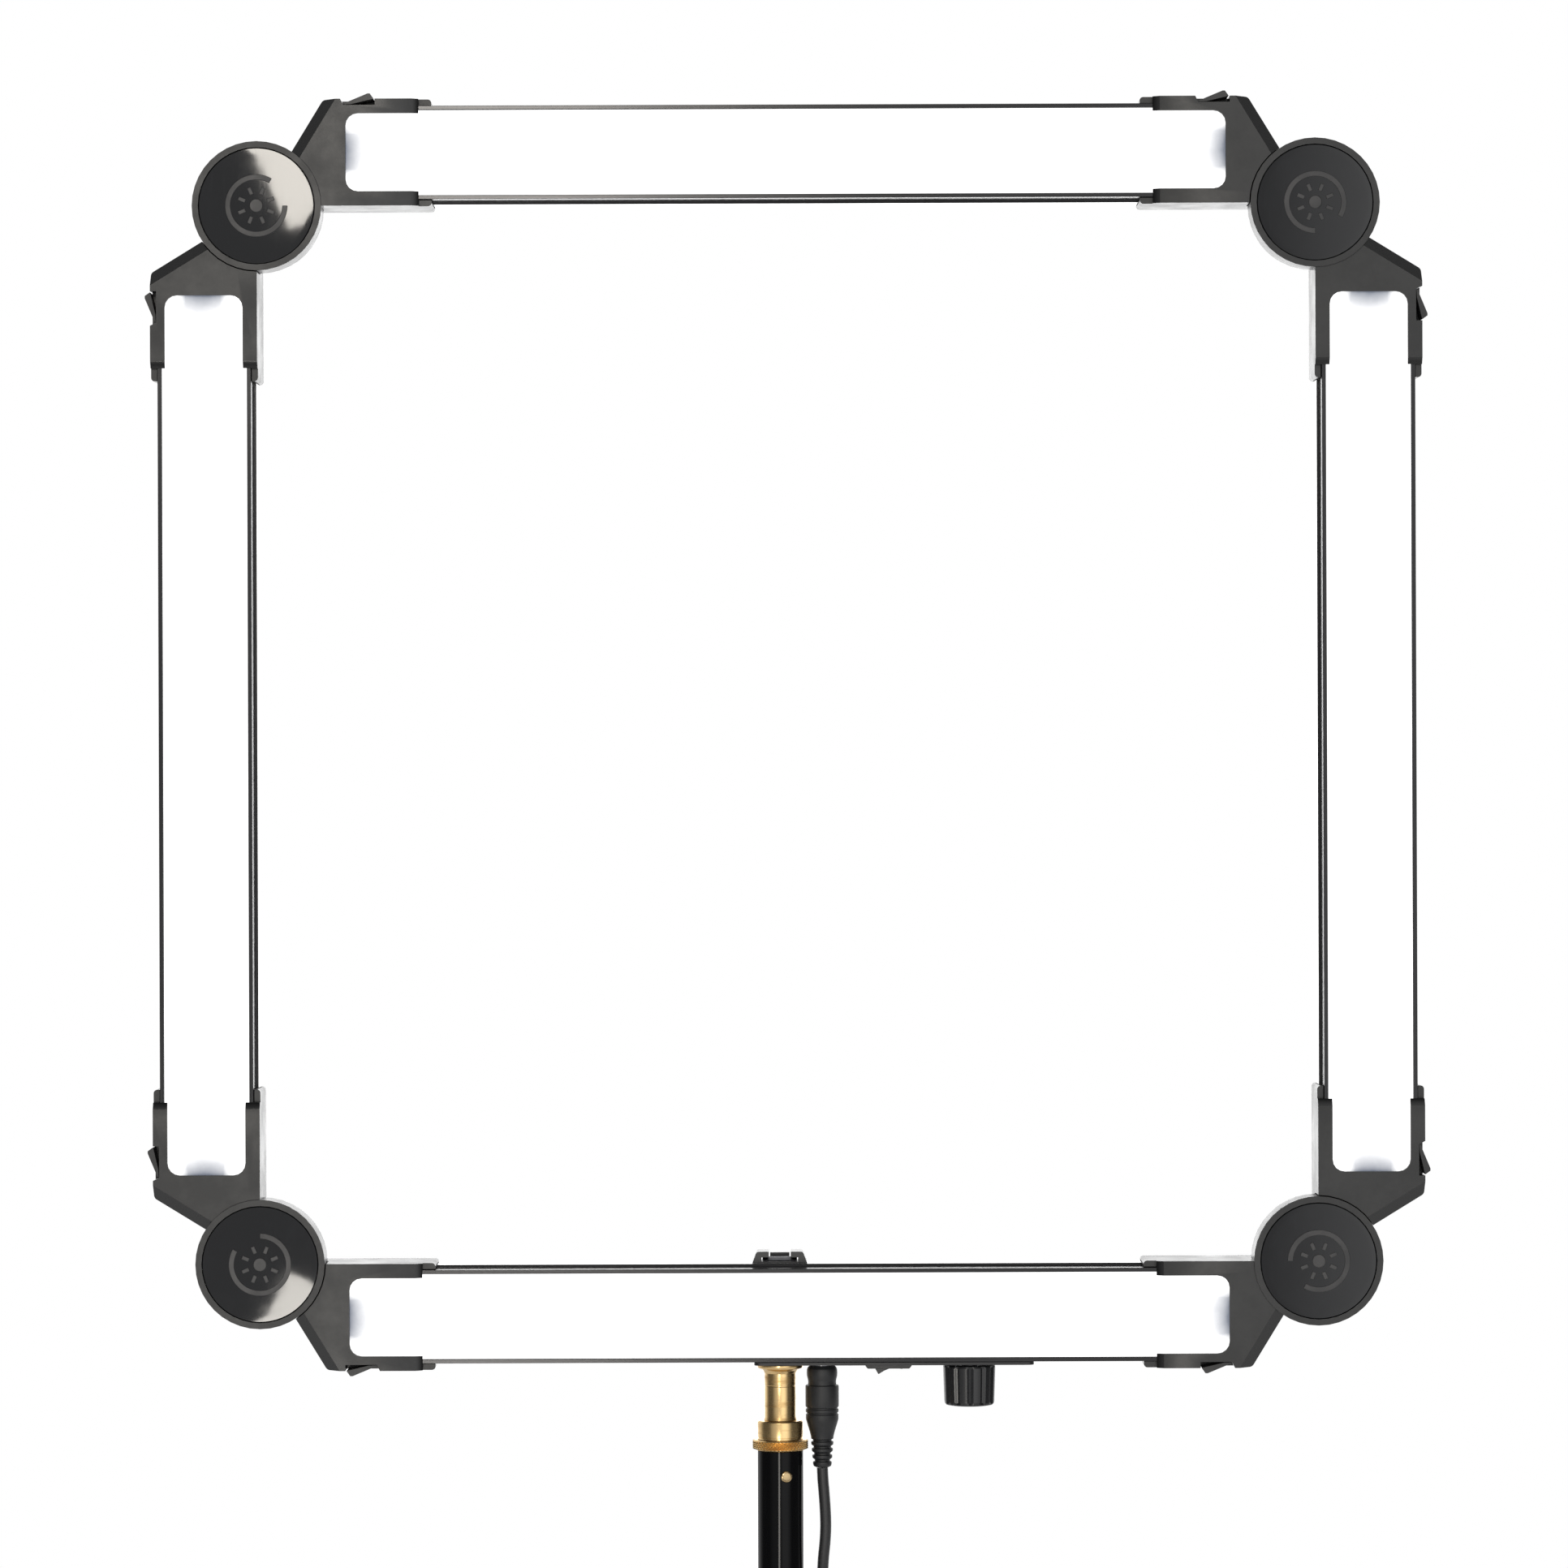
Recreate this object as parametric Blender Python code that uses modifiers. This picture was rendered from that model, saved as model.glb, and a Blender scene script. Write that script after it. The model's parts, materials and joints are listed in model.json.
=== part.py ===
"""Folding LED frame light: four hinged light bars in a square, on a stand stud, with its supply lead.

The frame stands in the XZ plane and shines towards -Y. Each bar has its own axes: X runs along the
bar from its leading pivot, Y from front to back and Z outwards, away from the frame's centre.
"""
import math

import bmesh
import bpy
from mathutils import Matrix, Vector

# Frame and light bars
PIVOT_PITCH = 0.535            # from one knuckle's pivot to the next
BAR_WIDTH = 0.0473             # channel, front half
BAR_DEPTH = 0.030              # channel, front to back
BAR_SETBACK = 0.0034           # channel's inner face, outside the line through its pivots
CHANNEL_WALL = 0.002
CHANNEL_BACK = 0.003
RAIL_RISE = 0.0014             # accessory rail along the rear half of the inner face
RAIL_FRONT = -0.001
LEDGE_WIDTH = 0.0015
LEDGE_THICKNESS = 0.0012
FIN_GROOVES = 7
FIN_GROOVE_WIDTH = 0.0024
FIN_GROOVE_DEPTH = 0.0015
DIFFUSER_THICKNESS = 0.002
DIFFUSER_SETBACK = 0.0004
BOARD_THICKNESS = 0.0016
BOARD_MARGIN = 0.00365          # from each edge of the channel to the LED board
BOARD_END_ROOM = 0.004         # from the channel's end to the LED board's end

# Forks, knuckles and latches
FORK_LIP = 0.0024              # front lip and back wall of the fork's sleeve
FORK_BASE = 0.045              # from the pivot to the window's edge
SOCKET_END = 0.043
LIP_END = 0.0818
LIP_BEVEL = 0.0035
HOOK_END = 0.0882
HOOK_SETBACK = 0.0047          # front edge of the side plates past the lips
HOOK_CORNER = 0.0018
WINDOW_MARGIN = 0.0073
WINDOW_CORNER = 0.0062
ARM_ANGLE = math.radians(58.5)
ARM_CORNER = 0.0025
ARM_STRIP = 0.0058             # width of the sloping strip along the arm's edge
ARM_STRIP_DROP = 0.0065
KNUCKLE_RADIUS = 0.0327        # front knuckle, which carries the cap
REAR_KNUCKLE_RADIUS = 0.0305
KNUCKLE_RISE = 0.001           # front knuckle, proud of the fork's front
KNUCKLE_CLEARANCE = 0.0005
KNUCKLE_SPLIT = 0.0005         # from the middle plane to each knuckle's inner face
CAP_RADIUS = 0.02925
CAP_THICKNESS = 0.003
CAP_BEVEL = 0.0005
BOLT_RADIUS = 0.004
BOLT_HEAD_RADIUS = 0.009
BOLT_HEAD_HEIGHT = 0.0044
WASHER_RADIUS = 0.020
WASHER_THICKNESS = 0.0004
LATCH_WIDTH = 0.012
LATCH_TIP = 0.0568             # from the leading pivot to the lever's tip
LATCH_TIP_TAIL = 0.0459        # from the trailing pivot to the lever's tip
LATCH_RISE = 0.0026
LATCH_PIN = (-0.0111, -0.0046)  # the lever's axis, from the crest of its tip

# Control side of the bottom bar: places along X from the frame's centre
STAND_OFFSET = -0.0049
PLATE_START = -0.018
PLATE_END = 0.1237
PLATE_DEPTH = 0.027
PLATE_THICKNESS = 0.0016
PLATE_CORNER = 0.003
JACK_PLACE = 0.0164
JACK_RADIUS = 0.00575
JACK_BORE = 0.0030
SWITCH_PLACE = 0.0501
SWITCH_LENGTH = 0.0235
SWITCH_DEPTH = 0.0150
SWITCH_HEIGHT = 0.002
SWITCH_BODY_LENGTH = 0.0192
SWITCH_BODY_DEPTH = 0.0128
SWITCH_OPENING_LENGTH = 0.0168
SWITCH_OPENING_DEPTH = 0.0108
ROCKER_TILT = math.radians(12)
KNOB_PLACE = 0.0913
KNOB_RADIUS = 0.0134
KNOB_END_RADIUS = 0.0128
KNOB_HEIGHT = 0.0205
KNOB_STANDOFF = 0.0008
KNOB_FLUTES = 12
POT_SHAFT_RADIUS = 0.003
POT_BUSH_RADIUS = 0.0036
POT_BODY_RADIUS = 0.008
DRIVER_PLACE = -0.075
DRIVER_SIZE = (0.070, 0.019, 0.0016)

# Accessory shoe on the inner face of the bottom bar
SHOE_WIDTH = 0.028
SHOE_TOP_WIDTH = 0.0235
SHOE_LENGTH = 0.0156
SHOE_FLOOR = 0.0008
SHOE_SLOT_WIDTH = 0.0187
SHOE_SLOT_HEIGHT = 0.0021
SHOE_GAP = 0.0112
SHOE_LIP = 0.0029
SHOE_STOP = (0.0099, 0.002, 0.0036)

# Stand fitting and the head of its riser tube
TUBE_LENGTH = 0.070
TUBE_RADIUS = 0.01175
TUBE_WALL = 0.002
STUD_RADIUS = 0.00795
STUD_FLANGE_RADIUS = 0.01155
STUD_FLANGE_HEIGHT = 0.0021
STUD_TAPER = 0.0016
STUD_SHANK_RADIUS = 0.00476
STUD_SHANK = 0.0105
STUD_NECK = 0.0248
STUD_TAIL = 0.022              # length of the stud inside the collar
COLLAR_RADIUS = 0.0116
COLLAR_HEIGHT = 0.0095
COLLAR_SPIGOT = 0.020          # length of the collar's spigot inside the tube
RING_RADIUS = 0.01425
RING_HEIGHT = 0.0051
RIVET_DROP = 0.0125
RIVET_TURN = math.radians(15)
RIVET_RADIUS = 0.0028
RIVET_SHANK_RADIUS = 0.0016
RIVET_RISE = 0.0009
BUSH_FLANGE = 0.002
BUSH_LENGTH = 0.014
INSERT_SIZE = (0.022, 0.020, 0.008)

# Supply lead
CORD_DIAMETER = 0.0057
PLUG_LENGTH = 0.0526
PLUG_TIP_RADIUS = 0.0027
PLUG_TIP_LENGTH = 0.009
COIL_RADIUS = 0.03135          # middle of the coiled turns
COIL_TURNS_ACROSS = 3
COIL_PLACE = (0.0224, 0.0, -0.060)
TIE_WIDTH = 0.008
TIE_THICKNESS = 0.0012
CONNECTOR_LENGTH = 0.042

GAP = 0.0003                   # between pieces that touch
WELD = 0.000001
PAST = 0.002                   # how far a cutter reaches past what it cuts

# Sizes that follow
FORK_WIDTH = BAR_WIDTH + 2 * BAR_SETBACK
FORK_FRONT = BAR_DEPTH / 2 + GAP + FORK_LIP
KNUCKLE_FRONT = FORK_FRONT + KNUCKLE_RISE
SHELF_FRONT = DIFFUSER_SETBACK + DIFFUSER_THICKNESS + GAP
BOARD_WIDTH = BAR_WIDTH - 2 * BOARD_MARGIN
CHANNEL_END = SOCKET_END + GAP
CHANNEL_OUTER = BAR_SETBACK + BAR_WIDTH
PLATE_BELOW = GAP + PLATE_THICKNESS
FLANGE_BELOW = PLATE_BELOW + GAP
NECK_END = FLANGE_BELOW + STUD_FLANGE_HEIGHT + STUD_TAPER + STUD_NECK
COLLAR_END = NECK_END + COLLAR_HEIGHT
RING_TOP = COLLAR_END + GAP
TUBE_TOP = RING_TOP + RING_HEIGHT + GAP
SPIGOT_RADIUS = TUBE_RADIUS - TUBE_WALL - GAP
BAR_FACE = TUBE_LENGTH + TUBE_TOP
FRAME_X = -STAND_OFFSET
LOW_PIVOT = BAR_FACE + CHANNEL_OUTER
HIGH_PIVOT = LOW_PIVOT + PIVOT_PITCH
COIL_HALF = COIL_TURNS_ACROSS * CORD_DIAMETER / 2
LATCH_SHIFT = PIVOT_PITCH - LATCH_TIP_TAIL - LATCH_TIP

AXES = {
    "X": Matrix(((0, 0, 1, 0), (1, 0, 0, 0), (0, 1, 0, 0), (0, 0, 0, 1))),
    "Y": Matrix(((1, 0, 0, 0), (0, 0, -1, 0), (0, 1, 0, 0), (0, 0, 0, 1))),
    "Z": Matrix.Identity(4),
}


# Scene, materials and placing

def clear_scene():
    for item in list(bpy.data.objects):
        bpy.data.objects.remove(item)


def new_collection(name):
    made = bpy.data.collections.new(name)
    bpy.context.scene.collection.children.link(made)
    return made


clear_scene()
PARTS = new_collection("led_frame_light")
CUTTERS = new_collection("cutters")


def finish(name, color, roughness, metallic=0.0):
    made = bpy.data.materials.new(name)
    made.use_nodes = True
    shader = made.node_tree.nodes["Principled BSDF"]
    shader.inputs["Base Color"].default_value = (*color, 1.0)
    shader.inputs["Roughness"].default_value = roughness
    shader.inputs["Metallic"].default_value = metallic
    return made


FINISHES = {
    "anodised": finish("anodised", (0.035, 0.035, 0.038), 0.35, 0.9),
    "opal": finish("opal", (0.93, 0.94, 0.96), 0.45),
    "board": finish("board", (0.80, 0.80, 0.76), 0.5),
    "green_board": finish("green_board", (0.02, 0.16, 0.07), 0.45),
    "moulded": finish("moulded", (0.055, 0.055, 0.057), 0.55),
    "lever": finish("lever", (0.060, 0.060, 0.062), 0.5),
    "gloss_black": finish("gloss_black", (0.012, 0.013, 0.016), 0.08),
    "steel": finish("steel", (0.55, 0.55, 0.56), 0.3, 1.0),
    "acetal": finish("acetal", (0.75, 0.74, 0.70), 0.4),
    "plate_black": finish("plate_black", (0.022, 0.022, 0.024), 0.45),
    "switch_black": finish("switch_black", (0.030, 0.030, 0.032), 0.35),
    "knob_black": finish("knob_black", (0.022, 0.023, 0.025), 0.3),
    "shoe_black": finish("shoe_black", (0.030, 0.030, 0.032), 0.4),
    "brass": finish("brass", (0.80, 0.56, 0.22), 0.18, 1.0),
    "tube_black": finish("tube_black", (0.012, 0.012, 0.014), 0.12),
    "plug_black": finish("plug_black", (0.030, 0.031, 0.033), 0.5),
    "cord_black": finish("cord_black", (0.035, 0.035, 0.036), 0.5),
}


def anchor(name, at, parent=None, turn=0.0):
    """Empty at a place in the world, turned about Y, that carries pieces or a joint's child."""
    made = bpy.data.objects.new(name, None)
    PARTS.objects.link(made)
    made.parent = parent
    bpy.context.view_layer.update()
    home = parent.matrix_world.inverted() if parent else Matrix.Identity(4)
    made.location = home @ Vector(at)
    made.rotation_euler = (0, turn, 0)
    bpy.context.view_layer.update()
    return made


def place(name, mesh, finish_name, parent, location=(0, 0, 0)):
    """Add one piece of the light: a mesh with its finish, on the anchor that carries it."""
    if not mesh.materials:
        mesh.materials.append(FINISHES[finish_name])
    piece = bpy.data.objects.new(name, mesh)
    PARTS.objects.link(piece)
    piece.parent = parent
    piece.location = location
    return piece


# Solids

def work_object(data):
    made = bpy.data.objects.new("work", data)
    made.hide_render = True
    made.display_type = "WIRE"
    CUTTERS.objects.link(made)
    return made


def mesh_of(item, matrix=AXES["Z"]):
    """Mesh of an object with its modifiers, welded and facing out. The object is removed."""
    source = item.evaluated_get(bpy.context.evaluated_depsgraph_get())
    mesh = bpy.data.meshes.new_from_object(source)
    mesh.transform(matrix)
    shell = bmesh.new()
    shell.from_mesh(mesh)
    bmesh.ops.remove_doubles(shell, verts=shell.verts, dist=WELD)
    bmesh.ops.recalc_face_normals(shell, faces=shell.faces)
    shell.to_mesh(mesh)
    shell.free()
    mesh.materials.clear()
    mesh.shade_smooth()
    mesh.set_sharp_from_angle(angle=math.radians(30))
    bpy.data.objects.remove(item)
    return mesh


def combine(operation, body, tools):
    target = work_object(body)
    helpers = [work_object(tool) for tool in tools]
    for helper in helpers:
        change = target.modifiers.new(operation.lower(), "BOOLEAN")
        change.operation = operation
        change.object = helper
    result = mesh_of(target)
    for helper in helpers:
        bpy.data.objects.remove(helper)
    return result


def cut(body, *tools):
    return combine("DIFFERENCE", body, tools)


def join(body, *tools):
    return combine("UNION", body, tools)


def overlap(body, *tools):
    return combine("INTERSECT", body, tools)


def prism(outline, low, high, axis):
    """Outline, extruded from low to high along the axis.

    Its points are (x, z) for a prism along Y, (y, z) along X and (x, y) along Z.
    """
    curve = bpy.data.curves.new("outline", "CURVE")
    curve.dimensions = "2D"
    curve.fill_mode = "BOTH"
    curve.extrude = (high - low) / 2
    spline = curve.splines.new("POLY")
    spline.points.add(len(outline) - 1)
    for point, (across, up) in zip(spline.points, outline):
        point.co = (across, up, 0, 1)
    spline.use_cyclic_u = True
    middle = (low + high) / 2
    shift = Vector([middle if axis == name else 0.0 for name in "XYZ"])
    return mesh_of(work_object(curve), Matrix.Translation(shift) @ AXES[axis])


def box(low, high):
    """Block between two opposite corners."""
    made = bmesh.new()
    bmesh.ops.create_cube(made, size=1)
    size = Vector(high) - Vector(low)
    bmesh.ops.scale(made, vec=size, verts=made.verts)
    bmesh.ops.translate(made, vec=(Vector(low) + Vector(high)) / 2, verts=made.verts)
    mesh = bpy.data.meshes.new("block")
    made.to_mesh(mesh)
    made.free()
    return mesh_of(work_object(mesh))


def cylinder(radius, low, high, axis, at=(0, 0, 0), segments=24):
    made = bmesh.new()
    bmesh.ops.create_cone(made, cap_ends=True, segments=segments, radius1=radius, radius2=radius,
                          depth=high - low)
    mesh = bpy.data.meshes.new("round")
    made.to_mesh(mesh)
    made.free()
    middle = (low + high) / 2
    shift = Vector([middle if axis == name else 0.0 for name in "XYZ"]) + Vector(at)
    return mesh_of(work_object(mesh), Matrix.Translation(shift) @ AXES[axis])


def turned(profile, segments=24, axis="Z", ring=False):
    """Solid turned about the axis from (radius, height) points, listed from the top down.

    Along Y, a height counts towards the front. A ring's profile is a closed loop.
    """
    count = len(profile)
    edges = [(index, index + 1) for index in range(count - 1)]
    if ring:
        edges.append((count - 1, 0))
    mesh = bpy.data.meshes.new("profile")
    mesh.from_pydata([(radius, 0, height) for radius, height in profile], edges, [])
    spun = work_object(mesh)
    turn = spun.modifiers.new("turn", "SCREW")
    turn.steps = turn.render_steps = segments
    turn.use_merge_vertices = True
    turn.merge_threshold = WELD
    return mesh_of(spun, AXES[axis])


def rounded(corners, steps=4):
    """Outline through (across, up, radius) corners, with an arc at each that has a radius."""
    points = []
    for index, (across, up, radius) in enumerate(corners):
        corner = Vector((across, up))
        if not radius:
            points.append((across, up))
            continue
        before = (Vector(corners[index - 1][:2]) - corner).normalized()
        after = (Vector(corners[(index + 1) % len(corners)][:2]) - corner).normalized()
        half = before.angle(after) / 2
        centre = corner + (before + after).normalized() * (radius / math.sin(half))
        arm = corner + before * (radius / math.tan(half)) - centre
        other = corner + after * (radius / math.tan(half)) - centre
        start = math.atan2(arm.y, arm.x)
        sweep = math.atan2(arm.cross(other), arm.dot(other))
        for step in range(steps + 1):
            angle = start + sweep * step / steps
            points.append((centre.x + radius * math.cos(angle), centre.y + radius * math.sin(angle)))
    return points


def rectangle(length, width, corner, centre=(0, 0), steps=4):
    across, up = centre
    half_length, half_width = length / 2, width / 2
    corners = [(across - half_length, up - half_width, corner), (across + half_length, up - half_width, corner),
               (across + half_length, up + half_width, corner), (across - half_length, up + half_width, corner)]
    return rounded(corners, steps)


# Light bar: channel, diffuser and LED board

def channel_mesh():
    """Extruded tray, open to the front, with diffuser ledges, an inner rail and cooling grooves."""
    front, back = -BAR_DEPTH / 2, BAR_DEPTH / 2
    floor = back - CHANNEL_BACK
    rail = BAR_SETBACK - RAIL_RISE
    low, high = BAR_SETBACK + CHANNEL_WALL, CHANNEL_OUTER - CHANNEL_WALL
    ledge_front = front + SHELF_FRONT
    ledge_back = ledge_front + LEDGE_THICKNESS
    outline = [(front, low), (front, BAR_SETBACK), (RAIL_FRONT, BAR_SETBACK), (RAIL_FRONT, rail)]
    outline.append((back, rail))
    pitch = (CHANNEL_OUTER - rail) / FIN_GROOVES
    for groove in range(FIN_GROOVES):
        middle = rail + pitch * (groove + 0.5)
        start, end = middle - FIN_GROOVE_WIDTH / 2, middle + FIN_GROOVE_WIDTH / 2
        bottom = back - FIN_GROOVE_DEPTH
        outline += [(back, start), (bottom, start), (bottom, end), (back, end)]
    outline += [(back, CHANNEL_OUTER), (front, CHANNEL_OUTER), (front, high)]
    outline += [(ledge_front, high), (ledge_front, high - LEDGE_WIDTH)]
    outline += [(ledge_back, high - LEDGE_WIDTH), (ledge_back, high), (floor, high), (floor, low)]
    outline += [(ledge_back, low), (ledge_back, low + LEDGE_WIDTH)]
    outline += [(ledge_front, low + LEDGE_WIDTH), (ledge_front, low)]
    return prism(outline, CHANNEL_END, PIVOT_PITCH - CHANNEL_END, "X")


def diffuser_mesh():
    front = -BAR_DEPTH / 2 + DIFFUSER_SETBACK
    low = BAR_SETBACK + CHANNEL_WALL + GAP
    high = CHANNEL_OUTER - CHANNEL_WALL - GAP
    return box((CHANNEL_END, front, low), (PIVOT_PITCH - CHANNEL_END, front + DIFFUSER_THICKNESS, high))


def led_board_mesh():
    back = BAR_DEPTH / 2 - CHANNEL_BACK - GAP
    middle = BAR_SETBACK + BAR_WIDTH / 2
    end = CHANNEL_END + BOARD_END_ROOM
    return box((end, back - BOARD_THICKNESS, middle - BOARD_WIDTH / 2),
               (PIVOT_PITCH - end, back, middle + BOARD_WIDTH / 2))


# Forks with their knuckles

def fork_sleeve():
    """Wedge-shaped arm and the sleeve over a bar's end, with the sleeve's window, without its knuckle."""
    corner = FORK_WIDTH / math.tan(ARM_ANGLE)
    outline = rounded([(0, 0, 0), (HOOK_END, 0, HOOK_CORNER), (HOOK_END, FORK_WIDTH, HOOK_CORNER),
                       (corner, FORK_WIDTH, ARM_CORNER)])
    body = prism(outline, -FORK_FRONT, FORK_FRONT, "Y")

    slope = ARM_STRIP_DROP / ARM_STRIP
    strip = prism([(-PAST, -FORK_FRONT - PAST), (ARM_STRIP + PAST / slope, -FORK_FRONT - PAST),
                   (-PAST, -FORK_FRONT + ARM_STRIP_DROP + PAST * slope)], 0, 2 * FORK_WIDTH, "Z")
    strip.transform(Matrix.Rotation(math.pi / 2 - ARM_ANGLE, 4, "Y"))

    lip_slope = (FORK_LIP - GAP) / LIP_BEVEL
    hook_front = -FORK_FRONT + HOOK_SETBACK
    lip_back = -FORK_FRONT + lip_slope * LIP_BEVEL
    lip_start = LIP_END - LIP_BEVEL - PAST / lip_slope
    far = HOOK_END + PAST
    end_step = prism([(lip_start, -FORK_FRONT - PAST), (far, -FORK_FRONT - PAST), (far, hook_front),
                      (LIP_END, hook_front), (LIP_END, lip_back)], -PAST, FORK_WIDTH + PAST, "Z")

    half = BAR_DEPTH / 2 + GAP
    rail = BAR_SETBACK - RAIL_RISE - GAP
    socket = prism([(-half, BAR_SETBACK - GAP), (RAIL_FRONT - GAP, BAR_SETBACK - GAP),
                    (RAIL_FRONT - GAP, rail), (half, rail), (half, CHANNEL_OUTER + GAP),
                    (-half, CHANNEL_OUTER + GAP)], SOCKET_END, far, "X")
    high = FORK_WIDTH - WINDOW_MARGIN
    window = prism(rounded([(FORK_BASE, WINDOW_MARGIN, WINDOW_CORNER), (far, WINDOW_MARGIN, 0),
                            (far, high, 0), (FORK_BASE, high, WINDOW_CORNER)]),
                   -FORK_FRONT - PAST, -half + PAST, "Y")
    return cut(body, strip, end_step, socket, window)


def latch_slot(shift):
    """Cutter for a latch's slot and finger notch, in the outer plate of a fork."""
    pin_x, _ = LATCH_PIN
    start = LATCH_TIP + pin_x - 0.0015 - GAP + shift
    end = LATCH_TIP + 0.003 + shift
    floor = CHANNEL_OUTER + GAP - WELD
    top = FORK_WIDTH + LATCH_RISE + PAST
    outline = [(start, floor), (end, floor), (end, top), (start - 0.0038, top)]
    return prism(outline, -FORK_FRONT - PAST, -FORK_FRONT + LATCH_WIDTH + GAP, "Y")


def fork_mesh(leading):
    """One fork: the leading one carries the front knuckle and the cap, the trailing one the rear knuckle."""
    body = fork_sleeve()
    bore = BOLT_RADIUS + GAP
    head = BOLT_HEAD_RADIUS + GAP
    if leading:
        sweep = cylinder(REAR_KNUCKLE_RADIUS + KNUCKLE_CLEARANCE, -KNUCKLE_SPLIT, FORK_FRONT + PAST, "Y",
                         segments=40)
        knuckle = cylinder(KNUCKLE_RADIUS, -KNUCKLE_FRONT, -KNUCKLE_SPLIT, "Y", segments=40)
        recess = -KNUCKLE_FRONT + CAP_THICKNESS + GAP
        hollows = [cylinder(CAP_RADIUS + GAP, -KNUCKLE_FRONT - PAST, recess, "Y", segments=40),
                   cylinder(head, recess - PAST, recess + BOLT_HEAD_HEIGHT + 2 * GAP, "Y")]
    else:
        sweep = cylinder(KNUCKLE_RADIUS + KNUCKLE_CLEARANCE, -KNUCKLE_FRONT - PAST, KNUCKLE_SPLIT, "Y",
                         segments=40)
        knuckle = cylinder(REAR_KNUCKLE_RADIUS, KNUCKLE_SPLIT, FORK_FRONT, "Y", segments=40)
        hollows = [cylinder(head, FORK_FRONT - BOLT_HEAD_HEIGHT - 2 * GAP, FORK_FRONT + PAST, "Y")]
    hollows.append(cylinder(bore, -KNUCKLE_FRONT - PAST, FORK_FRONT + PAST, "Y", segments=20))
    body = cut(join(cut(body, sweep), knuckle), *hollows)
    if leading:
        return cut(body, latch_slot(0))
    body.transform(Matrix.Translation((PIVOT_PITCH, 0, 0)) @ Matrix.Scale(-1, 4, (1, 0, 0)))
    body.flip_normals()
    return cut(body, latch_slot(LATCH_SHIFT))


def latch_mesh():
    """Sprung lever, drawn from its axis: a low end, a long slope up to the tip and a steep drop."""
    pin_x, pin_z = LATCH_PIN
    surface = -LATCH_RISE - pin_z
    outline = [(-0.0015, -0.0010), (-0.0015, -0.0004), (-pin_x - 0.0006, -pin_z), (-pin_x + 0.0006, -pin_z),
               (-pin_x + 0.0024, surface + 0.0001), (-pin_x + 0.0024, surface - 0.0002), (0.0023, -0.0008)]
    return prism(outline, -FORK_FRONT, -FORK_FRONT + LATCH_WIDTH, "Y")


def knuckle_cap_mesh():
    front = KNUCKLE_FRONT
    back = front - CAP_THICKNESS
    return turned([(0, front), (CAP_RADIUS - CAP_BEVEL, front), (CAP_RADIUS, front - CAP_BEVEL),
                   (CAP_RADIUS, back), (0, back)], 40, "Y")


def pivot_bolt_mesh():
    """Shoulder bolt through both knuckles, with its head under the cap and its nut at the back."""
    head_top = KNUCKLE_FRONT - CAP_THICKNESS - 2 * GAP
    head_bottom = head_top - BOLT_HEAD_HEIGHT
    nut_bottom = -FORK_FRONT + GAP
    nut_top = nut_bottom + BOLT_HEAD_HEIGHT
    return turned([(0, head_top), (BOLT_HEAD_RADIUS, head_top), (BOLT_HEAD_RADIUS, head_bottom),
                   (BOLT_RADIUS, head_bottom), (BOLT_RADIUS, nut_top), (BOLT_HEAD_RADIUS, nut_top),
                   (BOLT_HEAD_RADIUS, nut_bottom), (0, nut_bottom)], 20, "Y")


def washer_mesh():
    half = WASHER_THICKNESS / 2
    inner = BOLT_RADIUS + GAP
    return turned([(WASHER_RADIUS, half), (WASHER_RADIUS, -half), (inner, -half), (inner, half)], 20, "Y",
                  ring=True)


# Controls of the bottom bar. Heights count from the bar's outer face, negative below it

def control_cutters(low, high, jack_radius, bush_radius):
    """Holes for the stud, jack, switch and dimmer through a wall between two heights."""
    length, depth = SWITCH_BODY_LENGTH + 2 * GAP, SWITCH_BODY_DEPTH + 2 * GAP
    return [cylinder(STUD_SHANK_RADIUS + GAP, low, high, "Z", (STAND_OFFSET, 0, 0), 20),
            cylinder(jack_radius, low, high, "Z", (JACK_PLACE, 0, 0), 20),
            cylinder(bush_radius, low, high, "Z", (KNOB_PLACE, 0, 0), 16),
            prism(rectangle(length, depth, 0, (SWITCH_PLACE, 0)), low, high, "Z")]


def bottom_channel_mesh():
    holes = control_cutters(-PAST, CHANNEL_WALL + PAST, JACK_RADIUS + GAP, POT_BUSH_RADIUS + GAP)
    into_bar = Matrix.Translation((PIVOT_PITCH / 2, 0, CHANNEL_OUTER)) @ Matrix.Rotation(math.pi, 4, "Y")
    for hole in holes:
        hole.transform(into_bar)
    return cut(channel_mesh(), *holes)


def control_plate_mesh():
    length = PLATE_END - PLATE_START
    centre = ((PLATE_START + PLATE_END) / 2, 0)
    plate = prism(rectangle(length, PLATE_DEPTH, PLATE_CORNER, centre), -PLATE_BELOW, -GAP, "Z")
    return cut(plate, *control_cutters(-PLATE_BELOW - PAST, PAST, JACK_RADIUS + GAP, POT_BUSH_RADIUS + GAP))


def jack_mesh():
    """Panel socket: threaded nose through the wall, flange inside, and a bore for the plug's tip."""
    nose = -PLATE_BELOW
    flange = CHANNEL_WALL + GAP
    bore_end = nose + PLUG_TIP_LENGTH + 0.001
    return turned([(0, 0.016), (0.0065, 0.016), (0.0065, flange + 0.002), (0.008, flange + 0.002),
                   (0.008, flange), (JACK_RADIUS, flange), (JACK_RADIUS, nose), (JACK_BORE, nose),
                   (JACK_BORE, bore_end), (0, bore_end)], 20)


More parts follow.
